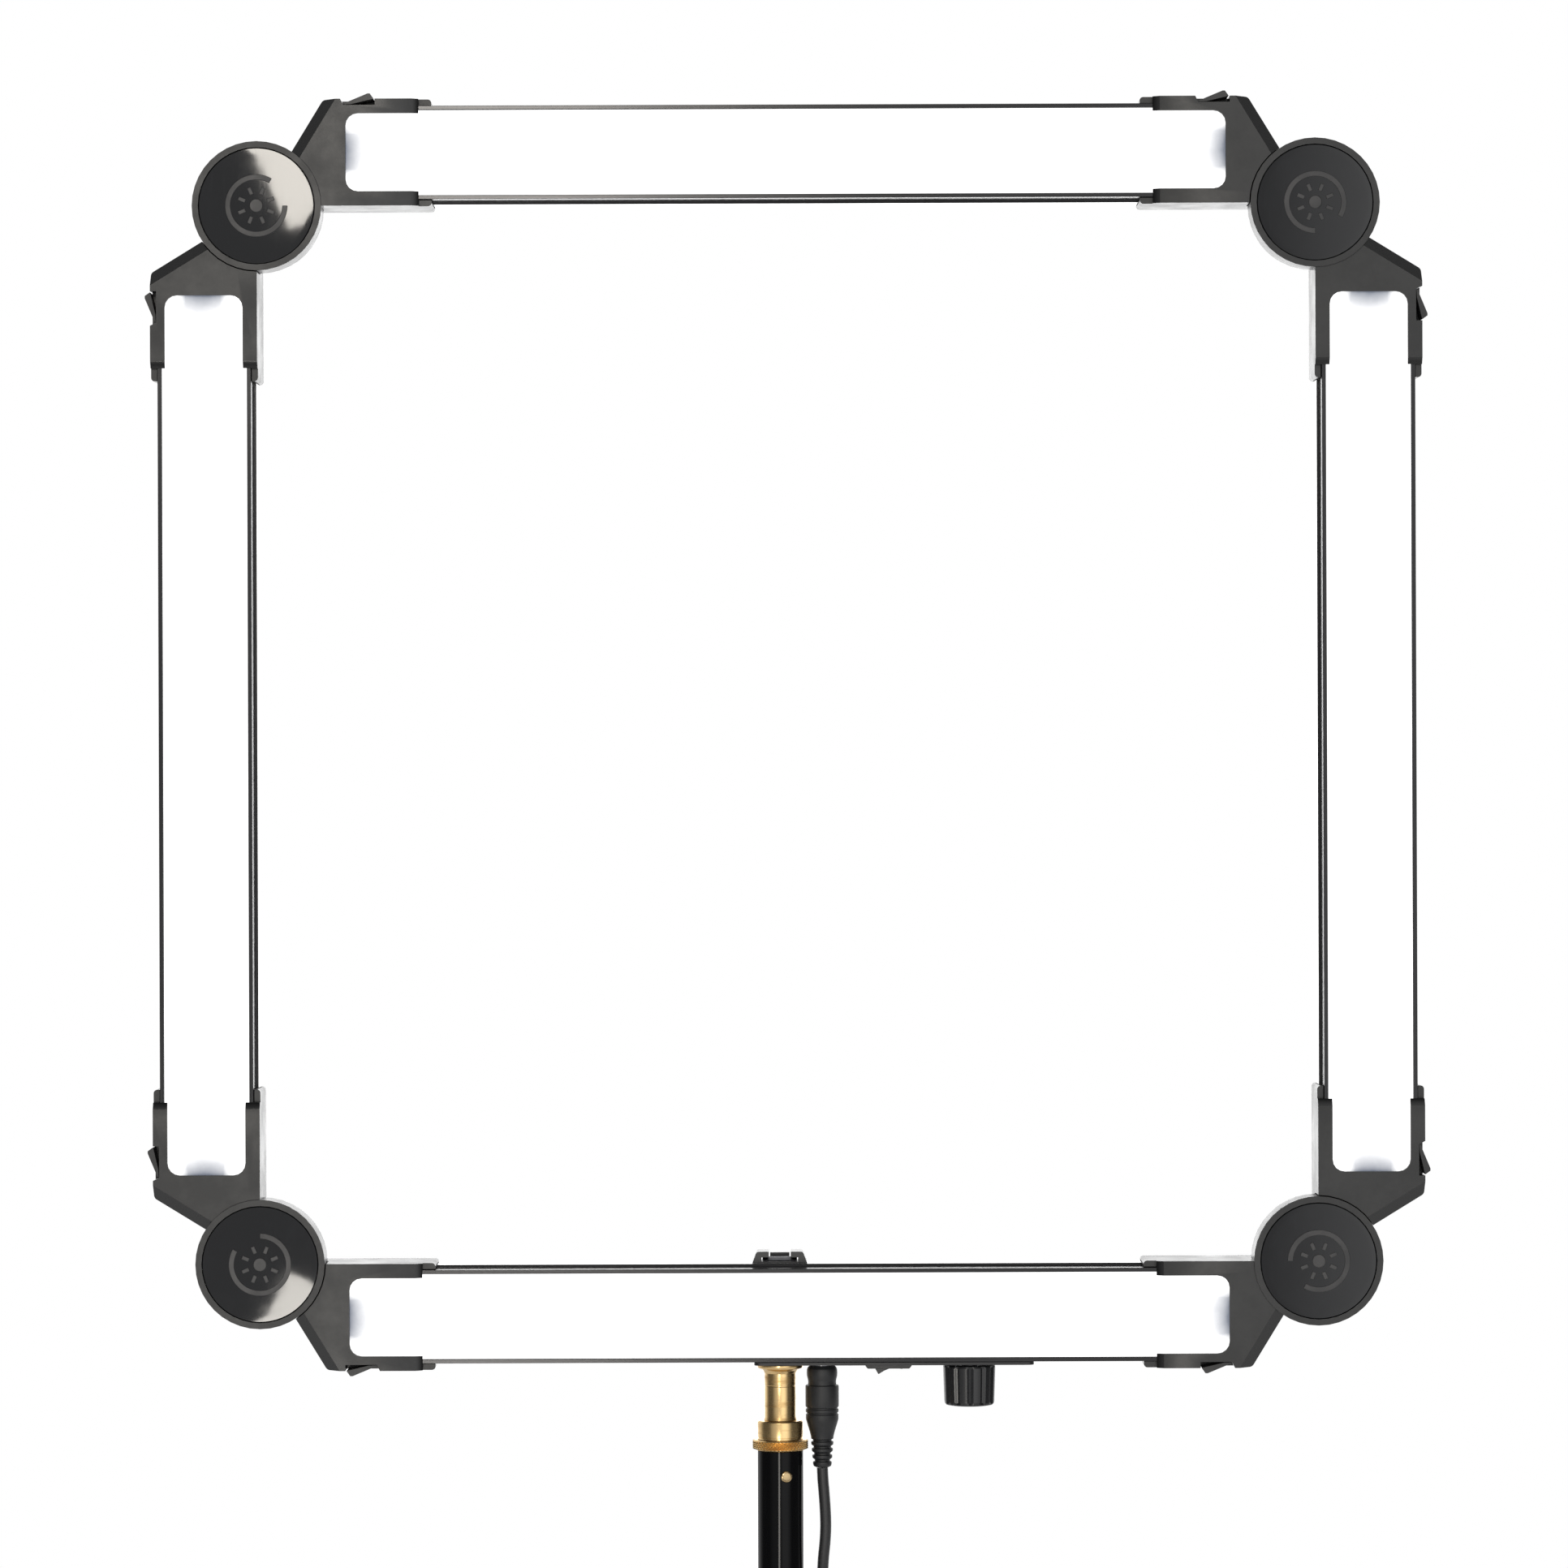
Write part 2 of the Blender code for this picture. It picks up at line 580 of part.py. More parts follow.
def switch_bezel_mesh():
    """Switch housing: bevelled bezel below the plate, body through the wall, pocket for the rocker."""
    top = -FLANGE_BELOW
    bottom = top - SWITCH_HEIGHT
    half = SWITCH_LENGTH / 2
    bevel = 0.0012
    bezel = prism([(-half, top), (-half, top - 0.0006), (-half + bevel, bottom), (half - bevel, bottom),
                   (half, top - 0.0006), (half, top)], -SWITCH_DEPTH / 2, SWITCH_DEPTH / 2, "Y")
    body = box((-SWITCH_BODY_LENGTH / 2, -SWITCH_BODY_DEPTH / 2, top - SWITCH_HEIGHT / 2),
               (SWITCH_BODY_LENGTH / 2, SWITCH_BODY_DEPTH / 2, 0.014))
    pocket = box((-SWITCH_OPENING_LENGTH / 2, -SWITCH_OPENING_DEPTH / 2, bottom - PAST),
                 (SWITCH_OPENING_LENGTH / 2, SWITCH_OPENING_DEPTH / 2, 0.0022))
    return cut(join(bezel, body), pocket)


def rocker_mesh():
    """Rocker, drawn from its axis and tilted to its switched-on side."""
    outline = [(-0.0076, 0.0006), (-0.0074, -0.0017), (-0.0063, -0.0051), (-0.0030, -0.0039), (0, -0.0034),
               (0.0030, -0.0039), (0.0063, -0.0051), (0.0074, -0.0017), (0.0076, 0.0006)]
    half = SWITCH_OPENING_DEPTH / 2 - GAP
    mesh = prism(outline, -half, half, "Y")
    mesh.transform(Matrix.Rotation(-ROCKER_TILT, 4, "Y"))
    return mesh


def pot_mesh():
    """Dimmer potentiometer: can inside the bar, threaded bush through the wall and shaft into the knob."""
    inside = CHANNEL_WALL + GAP
    shaft_end = -PLATE_BELOW - KNOB_STANDOFF - 0.014
    return turned([(0, inside + 0.008), (POT_BODY_RADIUS, inside + 0.008), (POT_BODY_RADIUS, inside),
                   (POT_BUSH_RADIUS, inside), (POT_BUSH_RADIUS, -PLATE_BELOW - 0.0022),
                   (POT_SHAFT_RADIUS, -PLATE_BELOW - 0.0022), (POT_SHAFT_RADIUS, shaft_end),
                   (0, shaft_end)], 16)


def knob_mesh():
    """Fluted, slightly tapered knob with a rounded rim, drawn from the face nearest the plate."""
    sides = KNOB_FLUTES * 6
    flute = 0.0006
    fluted = []
    for index in range(sides):
        angle = 2 * math.pi * index / sides
        radius = KNOB_RADIUS + flute - 2 * flute * max(0.0, math.cos(KNOB_FLUTES * angle)) ** 4
        fluted.append((radius * math.cos(angle), radius * math.sin(angle)))
    rim = 0.0014
    end = -KNOB_HEIGHT
    envelope = turned([(0, 0), (KNOB_RADIUS - rim, 0), (KNOB_RADIUS - rim / 3, -rim / 3), (KNOB_RADIUS, -rim),
                       (KNOB_END_RADIUS, end + rim), (KNOB_END_RADIUS - rim / 3, end + rim / 3),
                       (KNOB_END_RADIUS - rim, end), (0, end - 0.0004)], 36)
    body = overlap(prism(fluted, end - PAST, PAST, "Z"), envelope)
    recess = cylinder(POT_BUSH_RADIUS + 0.002, -0.003, PAST, "Z", segments=16)
    bore = cylinder(POT_SHAFT_RADIUS + GAP, -0.0146, PAST, "Z", segments=16)
    return cut(body, recess, bore)


def shoe_mesh():
    """Accessory shoe: floor, two lips over a slot along Y, and a stop at the slot's back end."""
    slot_top = SHOE_FLOOR + SHOE_SLOT_HEIGHT
    height = slot_top + SHOE_LIP
    half, top_half = SHOE_WIDTH / 2, SHOE_TOP_WIDTH / 2
    body = prism(rounded([(-half, 0, 0), (half, 0, 0), (top_half, height, 0.0014), (-top_half, height, 0.0014)]),
                 0, SHOE_LENGTH, "Y")
    slot = box((-SHOE_SLOT_WIDTH / 2, -PAST, SHOE_FLOOR), (SHOE_SLOT_WIDTH / 2, SHOE_LENGTH + PAST, slot_top))
    mouth = box((-SHOE_GAP / 2, -PAST, SHOE_FLOOR + PAST / 4), (SHOE_GAP / 2, SHOE_LENGTH + PAST, height + PAST))
    width, length, rise = SHOE_STOP
    stop = box((-width / 2, SHOE_LENGTH - length, SHOE_FLOOR / 2), (width / 2, SHOE_LENGTH, SHOE_FLOOR + rise))
    return join(cut(body, slot, mouth), stop)


def insert_mesh():
    """Threaded block inside the bar that the stud screws into."""
    length, depth, height = INSERT_SIZE
    floor = CHANNEL_WALL + GAP
    block = box((-length / 2, -depth / 2, floor), (length / 2, depth / 2, floor + height))
    return cut(block, cylinder(STUD_SHANK_RADIUS + GAP, 0, floor + height + PAST, "Z", segments=20))


# Stand fitting. Heights count from the bar's outer face

def stud_mesh():
    flange_end = -FLANGE_BELOW - STUD_FLANGE_HEIGHT
    waist = flange_end - STUD_TAPER
    end = -NECK_END - STUD_TAIL
    return turned([(0, STUD_SHANK - FLANGE_BELOW), (STUD_SHANK_RADIUS, STUD_SHANK - FLANGE_BELOW),
                   (STUD_SHANK_RADIUS, -FLANGE_BELOW), (STUD_FLANGE_RADIUS, -FLANGE_BELOW),
                   (STUD_FLANGE_RADIUS, flange_end + 0.0006), (STUD_FLANGE_RADIUS - 0.0012, flange_end),
                   (STUD_RADIUS + 0.0005, waist), (STUD_RADIUS, waist - 0.0006), (STUD_RADIUS, end + 0.001),
                   (STUD_RADIUS - 0.001, end), (0, end)], 24)


def collar_mesh():
    """Brass collar with the spigot that holds it in the tube, bored for the stud."""
    bore = STUD_RADIUS + GAP
    spigot_end = -TUBE_TOP - COLLAR_SPIGOT
    edge = 0.0006
    body = turned([(COLLAR_RADIUS - edge, -NECK_END), (COLLAR_RADIUS, -NECK_END - edge),
                   (COLLAR_RADIUS, -COLLAR_END), (SPIGOT_RADIUS, -COLLAR_END), (SPIGOT_RADIUS, spigot_end),
                   (bore, spigot_end), (bore, -NECK_END)], 24, ring=True)
    return cut(body, rivet_hole())


def lock_ring_mesh():
    inner = SPIGOT_RADIUS + GAP
    edge = 0.0006
    top, bottom = -RING_TOP, -RING_TOP - RING_HEIGHT
    return turned([(RING_RADIUS - edge, top), (RING_RADIUS, top - edge), (RING_RADIUS, bottom + edge),
                   (RING_RADIUS - edge, bottom), (inner, bottom), (inner, top)], 32, ring=True)


def rivet_hole():
    hole = cylinder(RIVET_SHANK_RADIUS + GAP, 0, TUBE_RADIUS + PAST, "Z", segments=12)
    hole.transform(rivet_place())
    return hole


def rivet_place():
    """From the rivet's own axis, which points out of the tube along Z, to its place on the tube."""
    outwards = Matrix.Rotation(RIVET_TURN, 4, "Z") @ Matrix.Rotation(math.pi / 2, 4, "X")
    return Matrix.Translation((0, 0, -TUBE_TOP - RIVET_DROP)) @ outwards


def tube_mesh():
    inner = TUBE_RADIUS - TUBE_WALL
    bottom = -BAR_FACE + BUSH_FLANGE + GAP
    body = turned([(TUBE_RADIUS, -TUBE_TOP), (TUBE_RADIUS, bottom), (inner, bottom), (inner, -TUBE_TOP)], 24,
                  ring=True)
    return cut(body, rivet_hole())


def rivet_mesh():
    seat = TUBE_RADIUS + GAP
    shank_end = STUD_RADIUS + 2 * GAP
    mesh = turned([(0, seat + RIVET_RISE), (RIVET_RADIUS * 0.6, seat + RIVET_RISE * 0.8),
                   (RIVET_RADIUS, seat + RIVET_RISE * 0.2), (RIVET_RADIUS, seat), (RIVET_SHANK_RADIUS, seat),
                   (RIVET_SHANK_RADIUS, shank_end), (0, shank_end)], 12)
    mesh.transform(rivet_place())
    return mesh


def bush_mesh():
    """Plastic bush that closes the riser's lower end. Heights count from its lower face."""
    radius = TUBE_RADIUS - TUBE_WALL - GAP
    return turned([(0, BUSH_LENGTH), (radius - 0.001, BUSH_LENGTH), (radius, BUSH_LENGTH - 0.001),
                   (radius, BUSH_FLANGE), (TUBE_RADIUS, BUSH_FLANGE), (TUBE_RADIUS, 0), (0, 0)], 24)


# Supply lead. Its plug is drawn from the bar's outer face, the rest in the frame's own axes

def plug_mesh():
    """Plug: tip, grip collar, body, two ribs, taper and a strain relief of four ribs."""
    top = -FLANGE_BELOW
    profile = [(0, top + PLUG_TIP_LENGTH), (PLUG_TIP_RADIUS, top + PLUG_TIP_LENGTH), (PLUG_TIP_RADIUS, top)]
    collar = [(0.0058, 0), (0.0072, 0.0012), (0.0078, 0.0040), (0.0078, 0.0058), (0.0073, 0.0080),
              (0.0074, 0.0112), (0.0084, 0.0115), (0.0085, 0.0216), (0.0078, 0.0224), (0.0084, 0.0232),
              (0.0084, 0.0244), (0.0078, 0.0252), (0.0083, 0.0262), (0.0081, 0.0290), (0.0057, 0.0378)]
    profile += [(radius, top - drop) for radius, drop in collar]
    ribs = 4
    rib_pitch = 0.0034
    for rib in range(ribs):
        drop = 0.0386 + rib * rib_pitch
        radius = 0.0057 - rib * 0.0003
        profile += [(radius - 0.0009, top - drop), (radius, top - drop - rib_pitch * 0.35),
                    (radius, top - drop - rib_pitch * 0.65)]
    profile += [(0.0032, top - PLUG_LENGTH), (0, top - PLUG_LENGTH)]
    return turned(profile, 16)


PLUG_X = FRAME_X + JACK_PLACE
CORD_TOP = BAR_FACE - FLANGE_BELOW - PLUG_LENGTH - GAP
CORD_ROUTE = [(PLUG_X, 0.0, CORD_TOP), (PLUG_X + 0.0003, 0.0, 0.0545), (PLUG_X + 0.0009, 0.0, 0.0470),
              (PLUG_X + 0.0014, 0.0, 0.0390), (PLUG_X + 0.0016, 0.0, 0.0310), (PLUG_X + 0.0012, 0.0001, 0.0230),
              (PLUG_X + 0.0004, 0.0006, 0.0150), (PLUG_X + 0.0000, 0.0020, 0.0065),
              (PLUG_X + 0.0002, 0.0048, -0.0020), (PLUG_X + 0.0005, 0.0090, -0.0100),
              (PLUG_X + 0.0008, 0.0143, -0.0172), (PLUG_X + 0.0011, 0.0176, -0.0207)]


def smooth_route(stops, spacing):
    """Points at even spacing on a smooth curve (Catmull-Rom) through the stops."""
    path = [Vector(stop) for stop in stops]
    path = [2 * path[0] - path[1]] + path + [2 * path[-1] - path[-2]]
    fine = []
    for before, start, end, after in zip(path, path[1:], path[2:], path[3:]):
        for step in range(16):
            share = step / 16
            fine.append(0.5 * (2 * start + (end - before) * share
                               + (2 * before - 5 * start + 4 * end - after) * share ** 2
                               + (3 * start - before - 3 * end + after) * share ** 3))
    fine.append(path[-2])
    length = sum((end - start).length for start, end in zip(fine, fine[1:]))
    count = max(2, round(length / spacing))
    points, gone, target = [fine[0]], 0.0, length / count
    for start, end in zip(fine, fine[1:]):
        run = (end - start).length
        while len(points) < count and gone + run >= target * len(points):
            points.append(start.lerp(end, (target * len(points) - gone) / run))
        gone += run
    points.append(fine[-1])
    return points


def cord_curve():
    curve = bpy.data.curves.new("power_cord", "CURVE")
    curve.dimensions = "3D"
    curve.bevel_depth = CORD_DIAMETER / 2
    curve.bevel_resolution = 2
    curve.use_fill_caps = True
    route = smooth_route(CORD_ROUTE, 1.4 * CORD_DIAMETER)
    spline = curve.splines.new("POLY")
    spline.points.add(len(route) - 1)
    for point, place_on_route in zip(spline.points, route):
        point.co = (*place_on_route, 1)
    return curve


def coil_mesh():
    """Outer shape of the coiled turns: a ring about X."""
    inner, outer = COIL_RADIUS - COIL_HALF, COIL_RADIUS + COIL_HALF
    corner = CORD_DIAMETER / 3
    section = rectangle(outer - inner, 2 * COIL_HALF, corner, ((inner + outer) / 2, 0), 1)
    return turned(list(reversed(section)), 28, "X", ring=True)


def tie_mesh():
    """Strap around the coil's section on its front side, from the coil's centre."""
    inside = COIL_HALF + GAP + 0.0004
    outside = inside + TIE_THICKNESS
    half = TIE_WIDTH / 2
    strap = box((-outside, -COIL_RADIUS - outside, -half), (outside, -COIL_RADIUS + outside, half))
    hole = box((-inside, -COIL_RADIUS - inside, -TIE_WIDTH), (inside, -COIL_RADIUS + inside, TIE_WIDTH))
    return cut(strap, hole)


def connector_mesh():
    """Plug on the lead's far end, pointing down. Heights count from its strain relief's top."""
    length = CONNECTOR_LENGTH
    return turned([(0, 0), (0.0034, 0), (0.0044, -0.010), (0.0054, -0.014), (0.0056, -length + 0.011),
                   (0.0050, -length + 0.0095), (0.00275, -length + 0.0095), (0.00275, -length), (0, -length)], 16)


# Assembly

def build_bar(name, carrier, meshes):
    """One light bar's ten pieces on the anchor at its leading pivot."""
    pieces = [("channel", "anodised"), ("diffuser", "opal"), ("led_board", "board"), ("lead_fork", "moulded"),
              ("tail_fork", "moulded"), ("knuckle_cap", "gloss_black"), ("pivot_bolt", "steel"),
              ("friction_washer", "acetal")]
    for piece, finish_name in pieces:
        mesh = meshes.get(f"{name}_{piece}", meshes.get(piece))
        place(f"{name}_{piece}", mesh, finish_name, carrier)
    pin_x, pin_z = LATCH_PIN
    pin = Vector((LATCH_TIP + pin_x, 0, FORK_WIDTH + LATCH_RISE + pin_z))
    for end, shift in (("lead", 0.0), ("tail", LATCH_SHIFT)):
        place(f"{name}_{end}_latch", meshes["latch"], "lever", carrier, pin + Vector((shift, 0, 0)))


def build_controls(carrier):
    """Everything on the bottom bar, on an anchor at the middle of its outer face."""
    axis = -GAP - 0.0007
    below_plate = -PLATE_BELOW - KNOB_STANDOFF
    inner_rail = BAR_WIDTH + RAIL_RISE + GAP
    place("control_plate", control_plate_mesh(), "plate_black", carrier)
    place("dc_jack", jack_mesh(), "switch_black", carrier, (JACK_PLACE, 0, 0))
    place("power_switch_bezel", switch_bezel_mesh(), "switch_black", carrier, (SWITCH_PLACE, 0, 0))
    place("power_switch_rocker", rocker_mesh(), "switch_black", carrier, (SWITCH_PLACE, 0, axis))
    place("dimmer_pot", pot_mesh(), "steel", carrier, (KNOB_PLACE, 0, 0))
    place("dimmer_knob", knob_mesh(), "knob_black", carrier, (KNOB_PLACE, 0, below_plate))
    place("cold_shoe", shoe_mesh(), "shoe_black", carrier, (STAND_OFFSET, RAIL_FRONT + GAP, inner_rail))
    place("mount_insert", insert_mesh(), "steel", carrier, (STAND_OFFSET, 0, 0))
    length, depth, thickness = DRIVER_SIZE
    floor = CHANNEL_WALL + GAP
    driver = box((-length / 2, -depth / 2, floor), (length / 2, depth / 2, floor + thickness))
    place("driver_board", driver, "green_board", carrier, (DRIVER_PLACE, 0, 0))
    place("stand_stud", stud_mesh(), "brass", carrier, (STAND_OFFSET, 0, 0))


def build_stand():
    """Riser tube's head: it stays still while the light turns on it."""
    riser = anchor("riser_axis", (0, 0, BAR_FACE))
    place("stand_collar", collar_mesh(), "brass", riser)
    place("lock_ring", lock_ring_mesh(), "brass", riser)
    place("stand_tube", tube_mesh(), "tube_black", riser)
    place("tube_rivet", rivet_mesh(), "brass", riser)
    place("riser_bush", bush_mesh(), "plate_black", riser, (0, 0, -BAR_FACE))


def build_lead(carrier):
    """Supply lead: plug in the jack, hanging tube of cord, tied coil and the far end's connector."""
    place("dc_plug", plug_mesh(), "plug_black", carrier, (JACK_PLACE, 0, 0))
    world = carrier.matrix_world.inverted()
    cord = bpy.data.objects.new("power_cord", cord_curve())
    cord.data.materials.append(FINISHES["cord_black"])
    PARTS.objects.link(cord)
    cord.parent = carrier
    cord.location = world.translation
    coil = world @ Vector(COIL_PLACE)
    place("cord_coil", coil_mesh(), "cord_black", carrier, coil)
    place("cord_tie", tie_mesh(), "plug_black", carrier, coil)
    outer = COIL_RADIUS + COIL_HALF
    below = math.sqrt(outer ** 2 - (COIL_RADIUS - CORD_DIAMETER * 0.6) ** 2) + GAP
    place("supply_connector", connector_mesh(), "plug_black", carrier, coil + Vector((0, COIL_RADIUS, -below)))


def build_light():
    left, right = FRAME_X - PIVOT_PITCH / 2, FRAME_X + PIVOT_PITCH / 2
    pan = anchor("pan_axis", (0, 0, TUBE_LENGTH))
    left_hinge = anchor("left_hinge", (left, 0, LOW_PIVOT), pan)
    right_hinge = anchor("right_hinge", (right, 0, LOW_PIVOT), pan)
    top_hinge = anchor("top_hinge", (left, 0, HIGH_PIVOT), left_hinge)
    carriers = {
        "top": anchor("top_bar", (left, 0, HIGH_PIVOT), top_hinge, 0),
        "right": anchor("right_bar", (right, 0, HIGH_PIVOT), right_hinge, math.pi / 2),
        "bottom": anchor("bottom_bar", (right, 0, LOW_PIVOT), pan, math.pi),
        "left": anchor("left_bar", (left, 0, LOW_PIVOT), left_hinge, 3 * math.pi / 2),
    }
    meshes = {
        "channel": channel_mesh(),
        "bottom_channel": bottom_channel_mesh(),
        "diffuser": diffuser_mesh(),
        "led_board": led_board_mesh(),
        "lead_fork": fork_mesh(leading=True),
        "tail_fork": fork_mesh(leading=False),
        "latch": latch_mesh(),
        "knuckle_cap": knuckle_cap_mesh(),
        "pivot_bolt": pivot_bolt_mesh(),
        "friction_washer": washer_mesh(),
    }
    for name, carrier in carriers.items():
        build_bar(name, carrier, meshes)
    controls = anchor("control_side", (FRAME_X, 0, BAR_FACE), pan)
    build_controls(controls)
    build_lead(controls)
    build_stand()


build_light()
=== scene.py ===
"""Looks of the folding LED frame light: mouldings, metalwork, controls, supply lead and stage."""
import json
import math

import bpy
from bpy.props import BoolProperty, FloatProperty, FloatVectorProperty, IntProperty, PointerProperty
from mathutils import Matrix, Vector


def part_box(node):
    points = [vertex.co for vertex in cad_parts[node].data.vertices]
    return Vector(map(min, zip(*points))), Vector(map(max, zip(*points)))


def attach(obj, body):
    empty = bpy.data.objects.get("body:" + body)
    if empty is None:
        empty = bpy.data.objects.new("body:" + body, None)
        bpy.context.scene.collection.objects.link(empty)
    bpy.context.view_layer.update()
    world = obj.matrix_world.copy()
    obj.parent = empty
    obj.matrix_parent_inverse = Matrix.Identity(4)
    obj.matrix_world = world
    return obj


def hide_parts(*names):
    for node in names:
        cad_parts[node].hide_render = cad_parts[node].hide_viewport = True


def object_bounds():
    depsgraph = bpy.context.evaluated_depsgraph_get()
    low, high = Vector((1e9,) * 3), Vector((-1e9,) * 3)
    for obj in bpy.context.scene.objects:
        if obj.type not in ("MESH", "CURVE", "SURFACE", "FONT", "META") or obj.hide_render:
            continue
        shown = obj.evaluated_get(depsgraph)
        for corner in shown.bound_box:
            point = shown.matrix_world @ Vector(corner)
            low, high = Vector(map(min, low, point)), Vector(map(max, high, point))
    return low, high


bl_info = {
    "name": "LED frame light",
    "version": (1, 0, 0),
    "blender": (4, 5, 0),
    "location": "3D View > Sidebar > Frame light",
    "description": "Models the visible pieces of a folding LED frame light on its packed frame",
    "category": "Object",
}

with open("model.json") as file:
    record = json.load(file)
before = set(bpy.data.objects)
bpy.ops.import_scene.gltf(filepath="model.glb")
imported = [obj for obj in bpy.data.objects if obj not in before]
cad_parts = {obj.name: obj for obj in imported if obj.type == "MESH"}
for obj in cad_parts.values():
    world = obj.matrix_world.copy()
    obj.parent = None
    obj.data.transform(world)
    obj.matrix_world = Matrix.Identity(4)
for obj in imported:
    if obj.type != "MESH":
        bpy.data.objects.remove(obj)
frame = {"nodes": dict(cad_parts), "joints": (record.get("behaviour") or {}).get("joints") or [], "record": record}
CAD_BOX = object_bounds()
BEHAVIOUR = frame["record"]["behaviour"]
BODY_OF = {node: body for body, nodes in BEHAVIOUR["bodies"].items() for node in nodes}
SLOT_OF = {item["node"]: item["material_slot"] for item in frame["record"]["subparts"]}
JOINT_AT = {joint["name"]: Vector(joint["pos_m"]) for joint in frame["joints"]}

# Each bar's own axes: X along the bar from its leading pivot, Y from front to back, Z outwards
LEFT, RIGHT = JOINT_AT["left_hinge"].x, JOINT_AT["right_hinge"].x
LOW, HIGH = JOINT_AT["left_hinge"].z, JOINT_AT["top_hinge"].z
PITCH = RIGHT - LEFT
BARS = {
    "top": Matrix.Translation((LEFT, 0, HIGH)),
    "right": Matrix.Translation((RIGHT, 0, HIGH)) @ Matrix.Rotation(math.radians(90), 4, "Y"),
    "bottom": Matrix.Translation((RIGHT, 0, LOW)) @ Matrix.Rotation(math.radians(180), 4, "Y"),
    "left": Matrix.Translation((LEFT, 0, LOW)) @ Matrix.Rotation(math.radians(270), 4, "Y"),
}
FACING_FRONT = Matrix.Rotation(math.radians(90), 4, "X")    # points a turned piece's Z to the front
FACING_BACK = Matrix.Rotation(math.radians(-90), 4, "X")
BAR_MIDDLE = 0.0277         # across a bar, from the line of its pivots to the middle of its diffuser
DIFFUSER_END = 0.045        # along a bar, from a pivot to where its diffuser starts
TINY = 0.000001             # doubled vertices closer than this are merged


# Settings

class FrameLightShapes(bpy.types.PropertyGroup):
    moulding_edge: FloatProperty(name="Moulding edge", description="Rounding of the forks' and levers' edges",
                                 default=0.0004, unit="LENGTH")
    metal_edge: FloatProperty(name="Metal edge", description="Rounding of extruded and turned metal edges",
                              default=0.00022, unit="LENGTH")
    cap_dome: FloatProperty(name="Cap dome", description="Rise of a knuckle cap's middle over its rim",
                            default=0.0006, unit="LENGTH")
    mark_radius: FloatProperty(name="Mark radius", description="Outer radius of the ring embossed on a cap",
                               default=0.0158, unit="LENGTH")
    knurl_count: IntProperty(name="Knurl count", description="Diamonds round the lock ring", default=42)
    flute_count: IntProperty(name="Flutes", description="Grooves round the dimmer knob", default=12)


class FrameLightColours(bpy.types.PropertyGroup):
    moulding: FloatVectorProperty(name="Moulding", description="Colour of forks and levers", subtype="COLOR",
                                  default=(0.0180, 0.0185, 0.0195))
    cap: FloatVectorProperty(name="Cap", description="Colour of the gloss knuckle caps", subtype="COLOR",
                             default=(0.0065, 0.0070, 0.0085))
    brass: FloatVectorProperty(name="Brass", description="Colour of the stand fitting", subtype="COLOR",
                               default=(0.79, 0.56, 0.27))
    rubber: FloatVectorProperty(name="Rubber", description="Colour of plug and cord", subtype="COLOR",
                                default=(0.013, 0.0135, 0.015))
    light: FloatVectorProperty(name="Light", description="Colour that the diffusers give", subtype="COLOR",
                               default=(1.0, 1.0, 1.0))


class FrameLightStage(bpy.types.PropertyGroup):
    lens: FloatProperty(name="Lens", description="Focal length of the camera", default=128.6, unit="CAMERA")
    distance: FloatProperty(name="Distance", description="From the camera to the frame's front", default=2.83,
                            unit="LENGTH")
    window_power: FloatProperty(name="Windows", description="Power of each of the two tall soft lights",
                                default=9.5, unit="POWER")
    show_floor: BoolProperty(name="Floor", description="Whether the pale floor is made", default=True)


# Modelling helpers

def deselect():
    """Leaves edit mode with nothing selected."""
    if bpy.context.object and bpy.context.object.mode != "OBJECT":
        bpy.ops.object.mode_set(mode="OBJECT")
    bpy.ops.object.select_all(action="DESELECT")


def only(piece):
    """Selects one piece and makes it active."""
    deselect()
    piece.select_set(True)
    bpy.context.view_layer.objects.active = piece


def in_place(piece, place=None):
    """Moves a new piece's place into its mesh, so that its object stays at the origin."""
    only(piece)
    if place is not None:
        piece.matrix_world = place @ piece.matrix_world
    bpy.ops.object.transform_apply(location=True, rotation=True, scale=True)
    return piece


def apply_modifier(piece, kind, **settings):
    """Adds a modifier with these settings and applies it."""
    only(piece)
    modifier = piece.modifiers.new(kind.title(), kind)
    for name, value in settings.items():
        setattr(modifier, name, value)
    bpy.ops.object.modifier_apply(modifier=modifier.name)
    return piece


def eased(piece, width, segments=2, angle=32.0):
    """Rounds the edges of a piece and keeps its flat faces flat."""
    only(piece)
    bpy.ops.object.shade_smooth()
    return apply_modifier(piece, "BEVEL", width=width, segments=segments, limit_method="ANGLE",
                          angle_limit=math.radians(angle), harden_normals=True, use_clamp_overlap=True)


def pick(piece, wanted):
    """Selects, in edit mode, the vertices whose place is wanted."""
    only(piece)
    bpy.ops.object.mode_set(mode="EDIT")
    bpy.ops.mesh.select_mode(type="VERT")
    bpy.ops.mesh.select_all(action="DESELECT")
    bpy.ops.object.mode_set(mode="OBJECT")
    for vertex in piece.data.vertices:
        vertex.select = bool(wanted(vertex.co))
    bpy.ops.object.mode_set(mode="EDIT")


def copy_of(node):
    """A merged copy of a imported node, with its flat faces whole again."""
    deselect()
    piece = bpy.data.objects.new(f"{node}_shape", frame["nodes"][node].data.copy())
    bpy.context.scene.collection.objects.link(piece)
    piece.data.materials.clear()
    only(piece)
    bpy.ops.mesh.customdata_custom_splitnormals_clear()
    bpy.ops.object.mode_set(mode="EDIT")
    bpy.ops.mesh.select_all(action="SELECT")
    bpy.ops.mesh.remove_doubles(threshold=0.00001)
    bpy.ops.mesh.dissolve_limited(angle_limit=math.radians(0.5))
    bpy.ops.object.mode_set(mode="OBJECT")
    return piece


